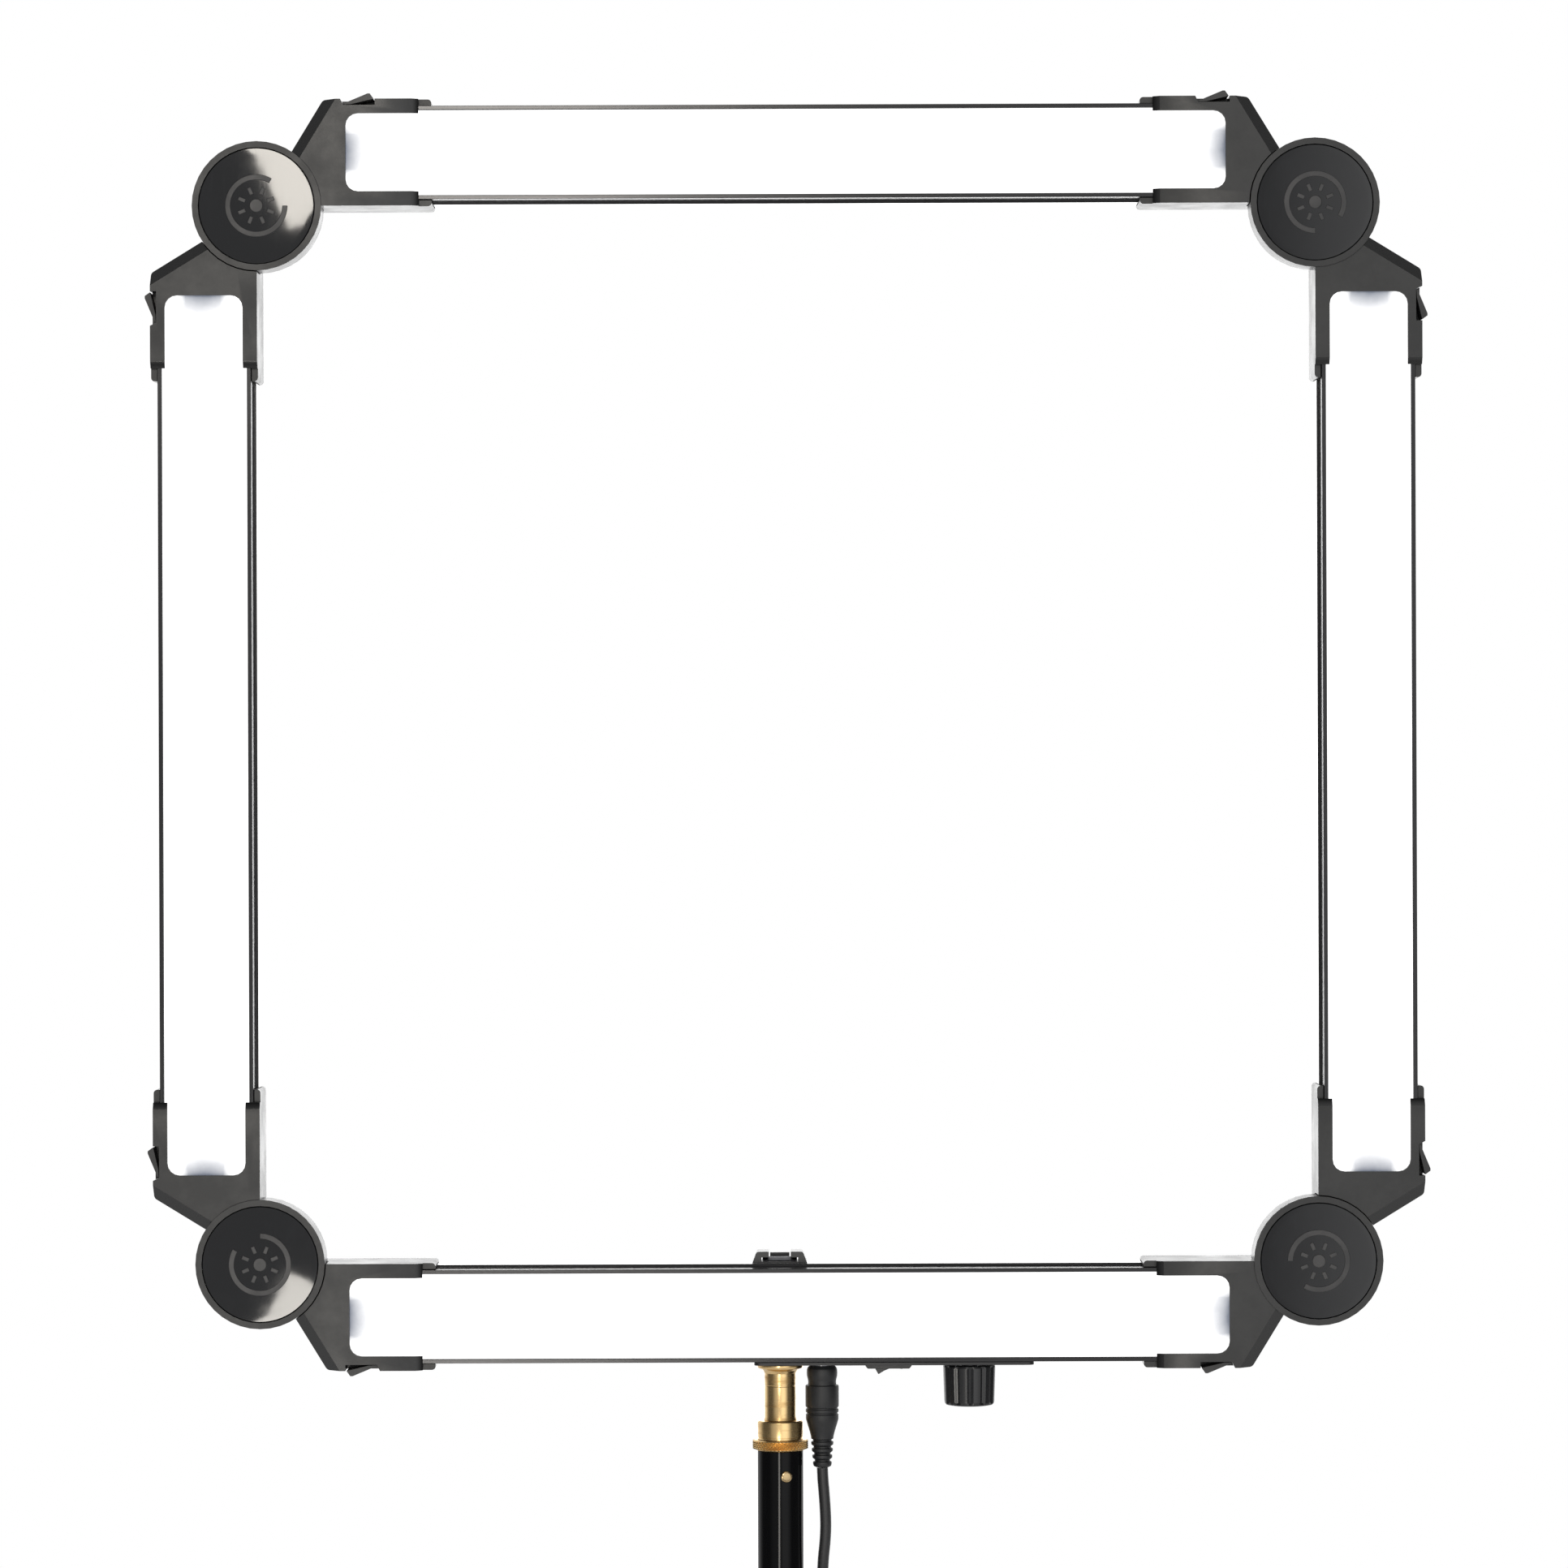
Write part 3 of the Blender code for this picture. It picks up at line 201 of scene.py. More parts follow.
def twin(piece, name, place):
    """A copy with its own mesh, put in its place."""
    made = bpy.data.objects.new(name, piece.data.copy())
    bpy.context.scene.collection.objects.link(made)
    return in_place(made, place)


def joined(name, pieces):
    """Several pieces made one."""
    deselect()
    for piece in pieces:
        piece.select_set(True)
    bpy.context.view_layer.objects.active = pieces[0]
    bpy.ops.object.join()
    pieces[0].name = name
    return pieces[0]


def cut_by(piece, cutter):
    """Cuts the cutter's shape out of a piece and deletes the cutter."""
    apply_modifier(piece, "BOOLEAN", operation="DIFFERENCE", object=cutter, solver="EXACT")
    bpy.data.objects.remove(cutter)
    return piece


def turned(name, stations, segments=64, ring=False, place=None):
    """A turned piece: a circle carried from station to station, each a radius and a height."""
    deselect()
    radius, height = stations[0]
    bpy.ops.mesh.primitive_circle_add(vertices=segments, radius=radius, location=(0, 0, height),
                                      fill_type="NOTHING" if ring else "NGON")
    piece = bpy.context.object
    piece.name = name
    bpy.ops.object.mode_set(mode="EDIT")
    bpy.ops.mesh.select_all(action="SELECT")
    for wider, higher in stations[1:] + (stations[:1] if ring else []):
        bpy.ops.mesh.extrude_region_move(TRANSFORM_OT_translate={"value": (0, 0, higher - height)})
        bpy.ops.transform.resize(value=(wider / radius, wider / radius, 1), center_override=(0, 0, 0))
        radius, height = wider, higher
    bpy.ops.mesh.select_all(action="SELECT")
    bpy.ops.mesh.remove_doubles(threshold=TINY)
    bpy.ops.mesh.normals_make_consistent(inside=False)
    bpy.ops.object.mode_set(mode="OBJECT")
    in_place(piece, place)
    bpy.ops.object.shade_smooth_by_angle(angle=math.radians(30))
    return piece


def block(name, low, high, place=None):
    """A box between two corners, to be shaped further."""
    deselect()
    low, high = Vector(low), Vector(high)
    bpy.ops.mesh.primitive_cube_add(size=1, location=(low + high) / 2, scale=high - low)
    bpy.context.object.name = name
    return in_place(bpy.context.object, place)


def cross_recessed(head, low, high):
    """Cuts a cross recess, drawn as its first slot's two corners, into a screw's head."""
    for turn in (0, 90):
        cut_by(head, block("cross", low, high, Matrix.Rotation(math.radians(turn), 4, "Z")))
    return head


def fitted(piece, body, finish, slot, *nodes):
    """Gives a finished piece its material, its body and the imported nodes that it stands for."""
    deselect()
    piece.data.materials.clear()
    piece.data.materials.append(finish)
    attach(piece, body)
    if nodes:
        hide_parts(*nodes)
    return piece


def stands_for(piece, node, finish):
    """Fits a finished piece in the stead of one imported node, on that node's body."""
    return fitted(piece, BODY_OF[node], finish, SLOT_OF[node], node)


def dressed(node, finish):
    """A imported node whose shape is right, with its full material."""
    data = frame["nodes"][node].data
    data.materials.clear()
    data.materials.append(finish)


# Materials

class Socket:
    """An output of a material's node that can be used in sums."""

    def __init__(self, tree, output):
        self.tree, self.output = tree, output

    def node(self, kind, settings=None, sockets=None, output=0):
        """Adds any other node: its settings come first, then its sockets' values or links."""
        made = self.tree.nodes.new(f"ShaderNode{kind}")
        for name, value in (settings or {}).items():
            setattr(made, name, value)
        connect(self.tree, made, sockets or {})
        return Socket(self.tree, made.outputs[output])

    def axes(self):
        """The X, Y and Z of a vector."""
        split = self.tree.nodes.new("ShaderNodeSeparateXYZ")
        self.tree.links.new(self.output, split.inputs[0])
        return [Socket(self.tree, output) for output in split.outputs]

    def maths(self, operation, *values):
        return self.node("Math", {"operation": operation}, dict(enumerate(values)))

    def __add__(self, other):
        return self.maths("ADD", self, other)

    def __sub__(self, other):
        return self.maths("SUBTRACT", self, other)

    def __rsub__(self, other):
        return self.maths("SUBTRACT", other, self)

    def __mul__(self, other):
        return self.maths("MULTIPLY", self, other)

    def __abs__(self):
        return self.maths("ABSOLUTE", self)

    __radd__, __rmul__ = __add__, __mul__


def connect(tree, node, sockets):
    """Links or sets a node's inputs by name or number."""
    for name, value in sockets.items():
        if isinstance(value, Socket):
            tree.links.new(value.output, node.inputs[name])
        else:
            node.inputs[name].default_value = value


def shade(socket, first, second):
    """A colour that goes from the first to the second as the socket goes from 0 to 1."""
    ends = [end if isinstance(end, Socket) else (*end, 1.0) for end in (first, second)]
    return socket.node("Mix", {"data_type": "RGBA"}, {0: socket, 6: ends[0], 7: ends[1]}, 2)


def spread(socket, low, high, bottom=0.0, top=1.0):
    """A socket's values between low and high, laid out between bottom and top and no further."""
    return socket.node("MapRange", {}, {0: socket, 1: low, 2: high, 3: bottom, 4: top})


def stretched(place, scale):
    return place.node("Mapping", {}, {"Vector": place, "Scale": scale})


def grain(place, scale, detail=3.0, roughness=0.5):
    return place.node("TexNoise", {}, {"Vector": place, "Scale": scale, "Detail": detail,
                                       "Roughness": roughness})


def relief(height, strength, distance):
    return height.node("Bump", {}, {"Strength": strength, "Distance": distance, "Height": height})


class Finish:
    """A new material with its shader and the coordinates that its patterns read."""

    def __init__(self, name, **constants):
        self.material = bpy.data.materials.new(name)
        self.material.use_nodes = True
        self.tree = self.material.node_tree
        self.shader = self.tree.nodes["Principled BSDF"]
        self.place = Socket(self.tree, self.tree.nodes.new("ShaderNodeTexCoord").outputs["Object"])
        for key, value in constants.items():
            self.shader.inputs[key.replace("_", " ").title().replace("Ior", "IOR")].default_value = value

    def wear(self, inputs):
        """Links or sets the shader's inputs by name and gives the material."""
        connect(self.tree, self.shader, inputs)
        return self.material


def scaled(colour, share):
    """A colour made lighter or darker."""
    return tuple(channel * share for channel in colour)


def moulded(name, colour, roughness=0.37, texture=0.30):
    """Black moulding with a fine spark-eroded texture, rubbed smoother in patches and along its strips, which are
    also darkened with painted shade.
    """
    finish = Finish(name)
    patches = grain(finish.place, 42.0, 4.0, 0.65)
    rubbed = spread(patches, 0.40, 0.64)
    pits = grain(finish.place, 3200.0, 2.0, 0.6)
    polish_and_painted_shade = finish.place.node("Attribute", {"attribute_name": "polish_and_painted_shade"}, {}, 2)
    face = shade(rubbed, scaled(colour, 0.82), (colour[0] * 1.45, colour[1] * 1.42, colour[2] * 1.36))
    # The sloping strips' colour drops to about a fifth: painted shade.
    base = shade(polish_and_painted_shade, face, scaled(colour, 0.22))
    rough = roughness - 0.07 * rubbed + 0.05 * spread(pits, 0.3, 0.7)
    return finish.wear({
        "Base Color": base,
        "Roughness": rough - polish_and_painted_shade * 0.20,
        "Normal": relief(pits, texture, 0.00006),
    })


def mark_slopes(piece):
    """Stores, as an attribute, where a piece's broad sloping strips are: left smoother by the mould, and darkened
    with painted shade.
    """
    layer = piece.data.attributes.new("polish_and_painted_shade", "FLOAT", "CORNER")
    for face in piece.data.polygons:
        if 0.35 < abs(face.normal.y) < 0.92 and face.area > 0.00001:
            for corner in face.loop_indices:
                layer.data[corner].value = 1.0


def gloss(name, colour, roughness=0.055, dust=0.04):
    """Polished plastic with faint handling marks that only show in its reflections."""
    finish = Finish(name)
    haze = grain(finish.place, 60.0, 5.0, 0.65)
    hairs = grain(stretched(finish.place, (900.0, 900.0, 40.0)), 1.0, 2.0)
    marks = spread(haze, 0.5, 0.75) * 0.6 + spread(hairs, 0.62, 0.72) * 0.4
    ripple = grain(finish.place, 42.0, 2.0, 0.4)
    return finish.wear({
        "Base Color": shade(marks, colour, scaled(colour, 1.6)),
        "Roughness": roughness + dust * marks,
        "Normal": relief(ripple, 0.12, 0.0006),
    })


def anodised(name, place_along):
    """Black anodised extrusion: satin, with die lines along the bar."""
    finish = Finish(name, metallic=0.35)
    along = {"X": (6.0, 2600.0, 2600.0), "Z": (2600.0, 2600.0, 6.0)}[place_along]
    lines = grain(stretched(finish.place, along), 1.0, 3.0, 0.6)
    cloud = grain(finish.place, 14.0, 3.0)
    return finish.wear({
        "Base Color": shade(spread(lines, 0.3, 0.7), (0.018, 0.018, 0.020), (0.034, 0.034, 0.036)),
        "Roughness": 0.12 + 0.08 * cloud + 0.06 * spread(lines, 0.4, 0.7),
    })


def opal(name, bar, light):
    """Lit diffuser: even light that dies away over the unlit ends by the forks."""
    finish = Finish(name, roughness=0.42)
    along, _, across = finish.place.node("Mapping", {"vector_type": "TEXTURE"}, {
        "Vector": finish.place, "Location": BARS[bar] @ Vector((PITCH / 2, 0, 0)),
        "Rotation": BARS[bar].to_euler()}).axes()
    to_end = PITCH / 2 - DIFFUSER_END - abs(along)
    off_centre = abs(across - BAR_MIDDLE)
    soft = grain(finish.place, 160.0, 2.0) * 0.0024 - 0.0012
    bell = to_end + off_centre * off_centre * 28.0
    dim = spread(bell + soft, 0.0145, 0.0004) * spread(off_centre + soft, 0.0136, 0.0090)
    cells = grain(finish.place, 900.0, 1.0)
    return finish.wear({
        # Where the glow dies away, the base colour turns darker and bluer and a faint blue glow stays: painted
        # shade of the parts behind the diffuser's ends.
        "Base Color": shade(dim, (0.52, 0.52, 0.53), (0.26, 0.275, 0.32)),
        "Emission Color": shade(dim, light, (0.06, 0.075, 0.105)),
        "Emission Strength": 1.1,
        "Normal": relief(cells, 0.10, 0.0001),
    })


def brass(name, colour, knurled=False):
    """Turned brass: fine rings from the tool, lightly tarnished in bands."""
    finish = Finish(name, metallic=1.0)
    rings = grain(stretched(finish.place, (25.0, 25.0, 4200.0)), 1.0, 2.0)
    tarnish = grain(stretched(finish.place, (55.0, 55.0, 340.0)), 1.0, 3.0, 0.55)
    dull = spread(tarnish, 0.48, 0.78)
    return finish.wear({
        "Base Color": shade(dull, colour, (colour[0] * 0.66, colour[1] * 0.58, colour[2] * 0.48)),
        "Roughness": (0.30 if knurled else 0.20) + 0.14 * dull + 0.06 * spread(rings, 0.3, 0.7),
        "Normal": relief(rings, 0.06, 0.00003),
    })


def painted(name, colour, roughness, scuff=0.16, peel_depth=0.10, sheen=0.5):
    """Painted or coated metal: slight orange peel and fine vertical rubs."""
    finish = Finish(name, specular_ior_level=sheen)
    peel = grain(finish.place, 420.0, 2.0)
    rubs = grain(stretched(finish.place, (1500.0, 1500.0, 35.0)), 1.0, 3.0, 0.6)
    worn = spread(rubs, 0.60, 0.74)
    return finish.wear({
        "Base Color": shade(worn, colour, scaled(colour, 2.2)),
        "Roughness": roughness + scuff * worn,
        "Normal": relief(peel, peel_depth, 0.00018),
    })


def rubber(name, colour, roughness=0.48):
    """Soft black moulding or sheath with a dusty, slightly uneven surface."""
    finish = Finish(name)
    dust = grain(finish.place, 260.0, 5.0, 0.7)
    skin = grain(finish.place, 2600.0, 2.0)
    lint = spread(dust, 0.55, 0.80)
    return finish.wear({
        "Base Color": shade(lint, colour, scaled(colour, 1.9)),
        "Roughness": roughness + 0.18 * lint,
        "Normal": relief(skin, 0.25, 0.00008),
    })


def steel(name, colour=(0.56, 0.56, 0.58), roughness=0.28):
    """Plated steel with turned scratches and a thin cloudy film."""
    finish = Finish(name, metallic=1.0)
    scratches = grain(stretched(finish.place, (2200.0, 60.0, 2200.0)), 1.0, 3.0)
    film = grain(finish.place, 180.0, 4.0, 0.6)
    return finish.wear({
        "Base Color": shade(spread(film, 0.45, 0.75), colour, scaled(colour, 0.72)),
        "Roughness": roughness + 0.14 * spread(scratches, 0.35, 0.7),
        "Normal": relief(scratches, 0.12, 0.00004),
    })


def board(name, mask, copper, pitch):
    """Circuit board: tracks and pads under a solder mask."""
    finish = Finish(name, roughness=0.35)
    tiles = finish.place.node("TexBrick", {"offset": 0.5}, {
        "Vector": finish.place, "Color1": (*mask, 1), "Color2": (*scaled(mask, 0.86), 1),
        "Mortar": (*copper, 1), "Scale": 1.0, "Mortar Size": pitch * 0.06, "Brick Width": pitch,
        "Row Height": pitch * 0.5})
    weave = grain(finish.place, 1400.0, 2.0)
    return finish.wear({
        "Base Color": tiles,
        "Roughness": 0.30 + 0.2 * weave,
        "Normal": relief(weave, 0.15, 0.00005),
    })


def plain_resin(name, colour, roughness=0.4):
    """Natural resin, cloudy inside and faintly turned outside."""
    finish = Finish(name)
    cloud = grain(finish.place, 150.0, 3.0)
    tool = grain(finish.place, 1800.0, 2.0)
    return finish.wear({
        "Base Color": shade(cloud, colour, scaled(colour, 0.8)),
        "Roughness": roughness + 0.15 * tool,
        "Normal": relief(tool, 0.12, 0.00005),
    })


# Pieces

class FRAMELIGHT_OT_stage(bpy.types.Operator):
    """Make the camera, the soft lights and the pale floor"""
    bl_idname = "framelight.stage"
    bl_label = "Stage"

    def execute(self, context):
        settings = context.scene.framelight_stage
        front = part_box("top_lead_fork")[0].y
        aim = Vector((0.0030, front, 0.4085))
        camera = bpy.data.objects.new("camera", bpy.data.cameras.new("camera"))
        context.scene.collection.objects.link(camera)
        camera.location = aim - Vector((0, settings.distance, 0))
        camera.rotation_euler = (math.radians(90), math.radians(0.2), 0)
        camera.data.lens = settings.lens
        camera.data.clip_end = 100
        context.scene.camera = camera
        context.scene.view_settings.view_transform = "Standard"
        self.world(context.scene)
        centre = Vector(((LEFT + RIGHT) / 2, front, (LOW + HIGH) / 2))
        windows = [
            ("upper_window", (-0.340, -2.62, 1.17), (0.29, 0.58), 1.0, (1.0, 0.95, 0.87), 24),
            ("lower_window", (-0.345, -2.62, -0.40), (0.32, 0.54), 0.9, (1.0, 0.96, 0.89), -28),
        ]
        for name, place, (width, height), share, colour, lean in windows:
            lamp = bpy.data.lights.new(name, "AREA")
            lamp.shape, lamp.size, lamp.size_y = "RECTANGLE", width, height
            lamp.energy, lamp.color = settings.window_power * share, colour
            light = bpy.data.objects.new(name, lamp)
            context.scene.collection.objects.link(light)
            facing = (centre - Vector(place)).to_track_quat("-Z", "Y").to_matrix().to_4x4()
            light.matrix_world = (Matrix.Translation(place) @ facing
                                  @ Matrix.Rotation(math.radians(lean), 4, "Z"))
            light.visible_camera = False
        if settings.show_floor:
            self.floor()
        return {"FINISHED"}

    def world(self, scene):
        """White to the camera and behind the light, dim in front of it."""
        scene.world = bpy.data.worlds.new("studio")
        scene.world.use_nodes = True
        tree = scene.world.node_tree
        start = Socket(tree, tree.nodes.new("ShaderNodeTexCoord").outputs["Generated"])
        across, away, _ = start.axes()
        front = spread(away, -0.55, -0.85) * spread(across, 0.01, 0.21, 0.46, 1.35)
        behind = spread(away, 0.12, 0.60) * 0.9 + spread(away, 0.88, 0.985) * 2.3
        level = 0.10 + front + behind
        seen = start.node("LightPath")
        strength = seen.node("Mix", {}, {0: seen, 2: level, 3: 1.0})
        connect(tree, tree.nodes["Background"], {"Color": (1.0, 1.0, 1.0, 1.0), "Strength": strength})

    def floor(self):
        """A pale disc a little under the hanging lead's end."""
        deselect()
        lowest = CAD_BOX[0].z - 0.012
        bpy.ops.mesh.primitive_circle_add(vertices=96, radius=0.85, fill_type="NGON", location=(0, 0, lowest))
        floor = bpy.context.object
        floor.name = "pale_floor"
        in_place(floor)
        finish = Finish("pale_floor", roughness=0.8)
        haze = grain(finish.place, 3.0, 3.0)
        floor.data.materials.append(finish.wear({
            "Base Color": shade(haze, (0.86, 0.86, 0.86), (0.90, 0.90, 0.90)),
            "Emission Color": (1, 1, 1, 1), "Emission Strength": 0.22}))


def smooth_route(stops, steps=4):
    """Points on a smooth curve through the stops."""
    path = [2 * stops[0] - stops[1], *stops, 2 * stops[-1] - stops[-2]]
    points = []
    for before, start, end, after in zip(path, path[1:], path[2:], path[3:]):
        for step in range(steps):
            share = step / steps
            points.append(0.5 * (2 * start + (end - before) * share
                                 + (2 * before - 5 * start + 4 * end - after) * share ** 2
                                 + (3 * start - before - 3 * end + after) * share ** 3))
    return points + [stops[-1]]


def eased_share(share):
    """A share from 0 to 1 that starts and ends gently."""
    share = min(1.0, max(0.0, share))
    return share * share * (3 - 2 * share)


class FRAMELIGHT_OT_supply_lead(bpy.types.Operator):
    """Make the supply lead: its plug, its cord with the tied coil, the tie and the far end's connector"""
    bl_idname = "framelight.supply_lead"
    bl_label = "Supply lead"

    diameter = 0.0057
    ring_radius = 0.03135       # of the coil's middle layer
    turn_steps = 54

    def route(self):
        """Down from the plug, round the coil's lanes, and straight down into the connector."""
        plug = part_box("dc_plug")
        x = (plug[0].x + plug[1].x) / 2
        top = plug[0].z - 0.0003
        hang = [(0, 0, top), (0.0003, 0, 0.0545), (0.0009, 0, 0.0470), (0.0014, 0, 0.0390),
                (0.0016, 0, 0.0310), (0.0012, 0.0001, 0.0230), (0.0004, 0.0006, 0.0150),
                (0.0, 0.0020, 0.0065), (0.0002, 0.0048, -0.0020), (0.0005, 0.0090, -0.0100),
                (0.0008, 0.0143, -0.0172)]
        points = smooth_route([Vector((x + across, back, up)) for across, back, up in hang], 3)
        low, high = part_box("cord_coil")
        centre = (low + high) / 2
        lanes = [(0, 1), (1, 1), (1, 0), (1, -1), (0, -1), (-1, -1), (-1, 0), (0, 0)]
        start, quarter = math.radians(27), math.radians(90)
        turns = len(lanes) - 1
        end = turns * 2 * math.pi + quarter
        steps = turns * self.turn_steps
        for step in range(1, steps + 1):
            angle = start + (end - start) * step / steps
            whole, part = divmod(angle / (2 * math.pi), 1.0)
            lane = min(int(whole), turns)
            if lane == 0:
                share = eased_share((angle - start) / math.radians(58))
                here, there = Vector((0, 1)), Vector(lanes[1])
            else:
                share = eased_share((part - 0.78) / 0.22)
                here, there = Vector(lanes[lane]), Vector(lanes[min(lane + 1, turns)])
            across, out = here.lerp(there, share)
            lead_in = 0.0062 * (1 - eased_share((angle - start) / math.radians(75)))
            radius = self.ring_radius + out * self.diameter + (lead_in if lane == 0 else 0)
            points.append(centre + Vector((across * self.diameter, radius * math.sin(angle),
                                           radius * math.cos(angle))))
        socket_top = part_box("supply_connector")[1].z
        last = points[-1].copy()
        for step in range(1, 6):
            points.append(Vector((last.x, last.y, last.z + (socket_top + 0.0003 - last.z) * step / 5)))
        return points

    def execute(self, context):
        colours = context.scene.framelight_colours
        points = self.route()
        curve = bpy.data.curves.new("supply_cord", "CURVE")
        curve.dimensions, curve.bevel_depth, curve.bevel_resolution = "3D", self.diameter / 2, 4
        curve.use_fill_caps = True
        spline = curve.splines.new("POLY")
        spline.points.add(len(points) - 1)
        for point, place in zip(spline.points, points):
            point.co = (*place, 1)
        spline.use_smooth = True
        cord = bpy.data.objects.new("supply_cord", curve)
        context.scene.collection.objects.link(cord)
        sheath = rubber("cord_sheath", (0.024, 0.024, 0.025), 0.42)
        mould = rubber("plug_moulding", tuple(colours.rubber))
        fitted(cord, "bottom_bar", sheath, "cord_black", "power_cord", "cord_coil")
        plug, connector, tie = self.plug(mould), self.connector(mould), self.tie()
        length = sum((after - before).length for before, after in zip(points, points[1:]))
        return {"FINISHED"}

    def plug(self, mould):
        """Moulded plug: its barrel, a stepped grip and a ribbed neck down to the cord."""
        low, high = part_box("dc_plug")
        top = high.z - 0.009
        across = (low.x + high.x) / 2
        drops = [(0.0054, 0.0009), (0.0064, 0.0010), (0.0072, 0.0017), (0.0077, 0.0028), (0.0078, 0.0046),
                 (0.0077, 0.0062), (0.0073, 0.0078), (0.0071, 0.0090), (0.0072, 0.0106), (0.0083, 0.0109),
                 (0.0085, 0.0114), (0.0085, 0.0214), (0.0083, 0.0219), (0.0078, 0.0222), (0.0078, 0.0227),
                 (0.0083, 0.0230), (0.0084, 0.0238), (0.0083, 0.0245), (0.0078, 0.0248), (0.0078, 0.0253),
                 (0.0083, 0.0257), (0.0083, 0.0280), (0.0080, 0.0292), (0.0072, 0.0318), (0.0064, 0.0345),
                 (0.0058, 0.0368), (0.0057, 0.0380)]
        stations = [(0.0027, top + 0.009), (0.0027, top), (0.0050, top - 0.0002), (0.0050, top - 0.0009)]
        stations += [(radius, top - drop) for radius, drop in drops]
        for rib in range(4):
            drop, radius = 0.0386 + rib * 0.0034, 0.0057 - rib * 0.0003
            stations += [(radius - 0.0010, top - drop), (radius - 0.0009, top - drop - 0.0006),
                         (radius - 0.0001, top - drop - 0.0010), (radius, top - drop - 0.0016),
                         (radius - 0.0001, top - drop - 0.0024)]
        stations += [(0.0044, top - 0.0520), (0.0032, low.z)]
        plug = turned("dc_plug_shape", stations, 48, place=Matrix.Translation((across, 0, 0)))
        return stands_for(plug, "dc_plug", mould)

    def connector(self, mould):
        """Inline connector: a ribbed neck, its body and the barrel under it."""
        low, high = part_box("supply_connector")
        place = Matrix.Translation(((low.x + high.x) / 2, (low.y + high.y) / 2, high.z))
        stations = [(0.0033, 0)]
        for rib in range(4):
            wider, lower = rib * 0.0002, rib * 0.0022
            stations += [(0.0034 + wider, -0.0012 - lower), (0.0042 + wider, -0.0016 - lower),
                         (0.0042 + wider, -0.0026 - lower), (0.0035 + wider, -0.0030 - lower)]
        stations += [(0.0046, -0.0118), (0.0054, -0.0140), (0.0056, -0.0160), (0.0056, -0.0300),
                     (0.0050, -0.0325), (0.0030, -0.0326), (0.00275, -0.0326), (0.00275, low.z - high.z)]
        connector = turned("supply_connector_shape", stations, 40, place=place)
        return stands_for(connector, "supply_connector", mould)

    def tie(self):
        tie = eased(copy_of("cord_tie"), 0.0004)
        return stands_for(tie, "cord_tie", rubber("tie_strap", (0.012, 0.012, 0.013), 0.75))


class FRAMELIGHT_OT_forks(bpy.types.Operator):
    """Make the eight moulded forks with rounded edges"""
    bl_idname = "framelight.forks"
    bl_label = "Forks"

    def execute(self, context):
        edge = context.scene.framelight_shapes.moulding_edge
        finish = moulded("fork_moulding", tuple(context.scene.framelight_colours.moulding))
        for bar in BARS:
            for end in ("lead", "tail"):
                node = f"{bar}_{end}_fork"
                fork = eased(copy_of(node), edge, 3)
                mark_slopes(fork)
                stands_for(fork, node, finish)
        return {"FINISHED"}


class FRAMELIGHT_OT_latches(bpy.types.Operator):
    """Make the eight latch levers with rounded edges"""
    bl_idname = "framelight.latches"
    bl_label = "Latch levers"

    def execute(self, context):
        edge = context.scene.framelight_shapes.moulding_edge
        colour = scaled(context.scene.framelight_colours.moulding, 1.15)
        finish = moulded("lever_moulding", colour, 0.42, 0.2)
        for bar in BARS:
            for end in ("lead", "tail"):
                node = f"{bar}_{end}_latch"
                stands_for(eased(copy_of(node), edge, 2), node, finish)
        return {"FINISHED"}


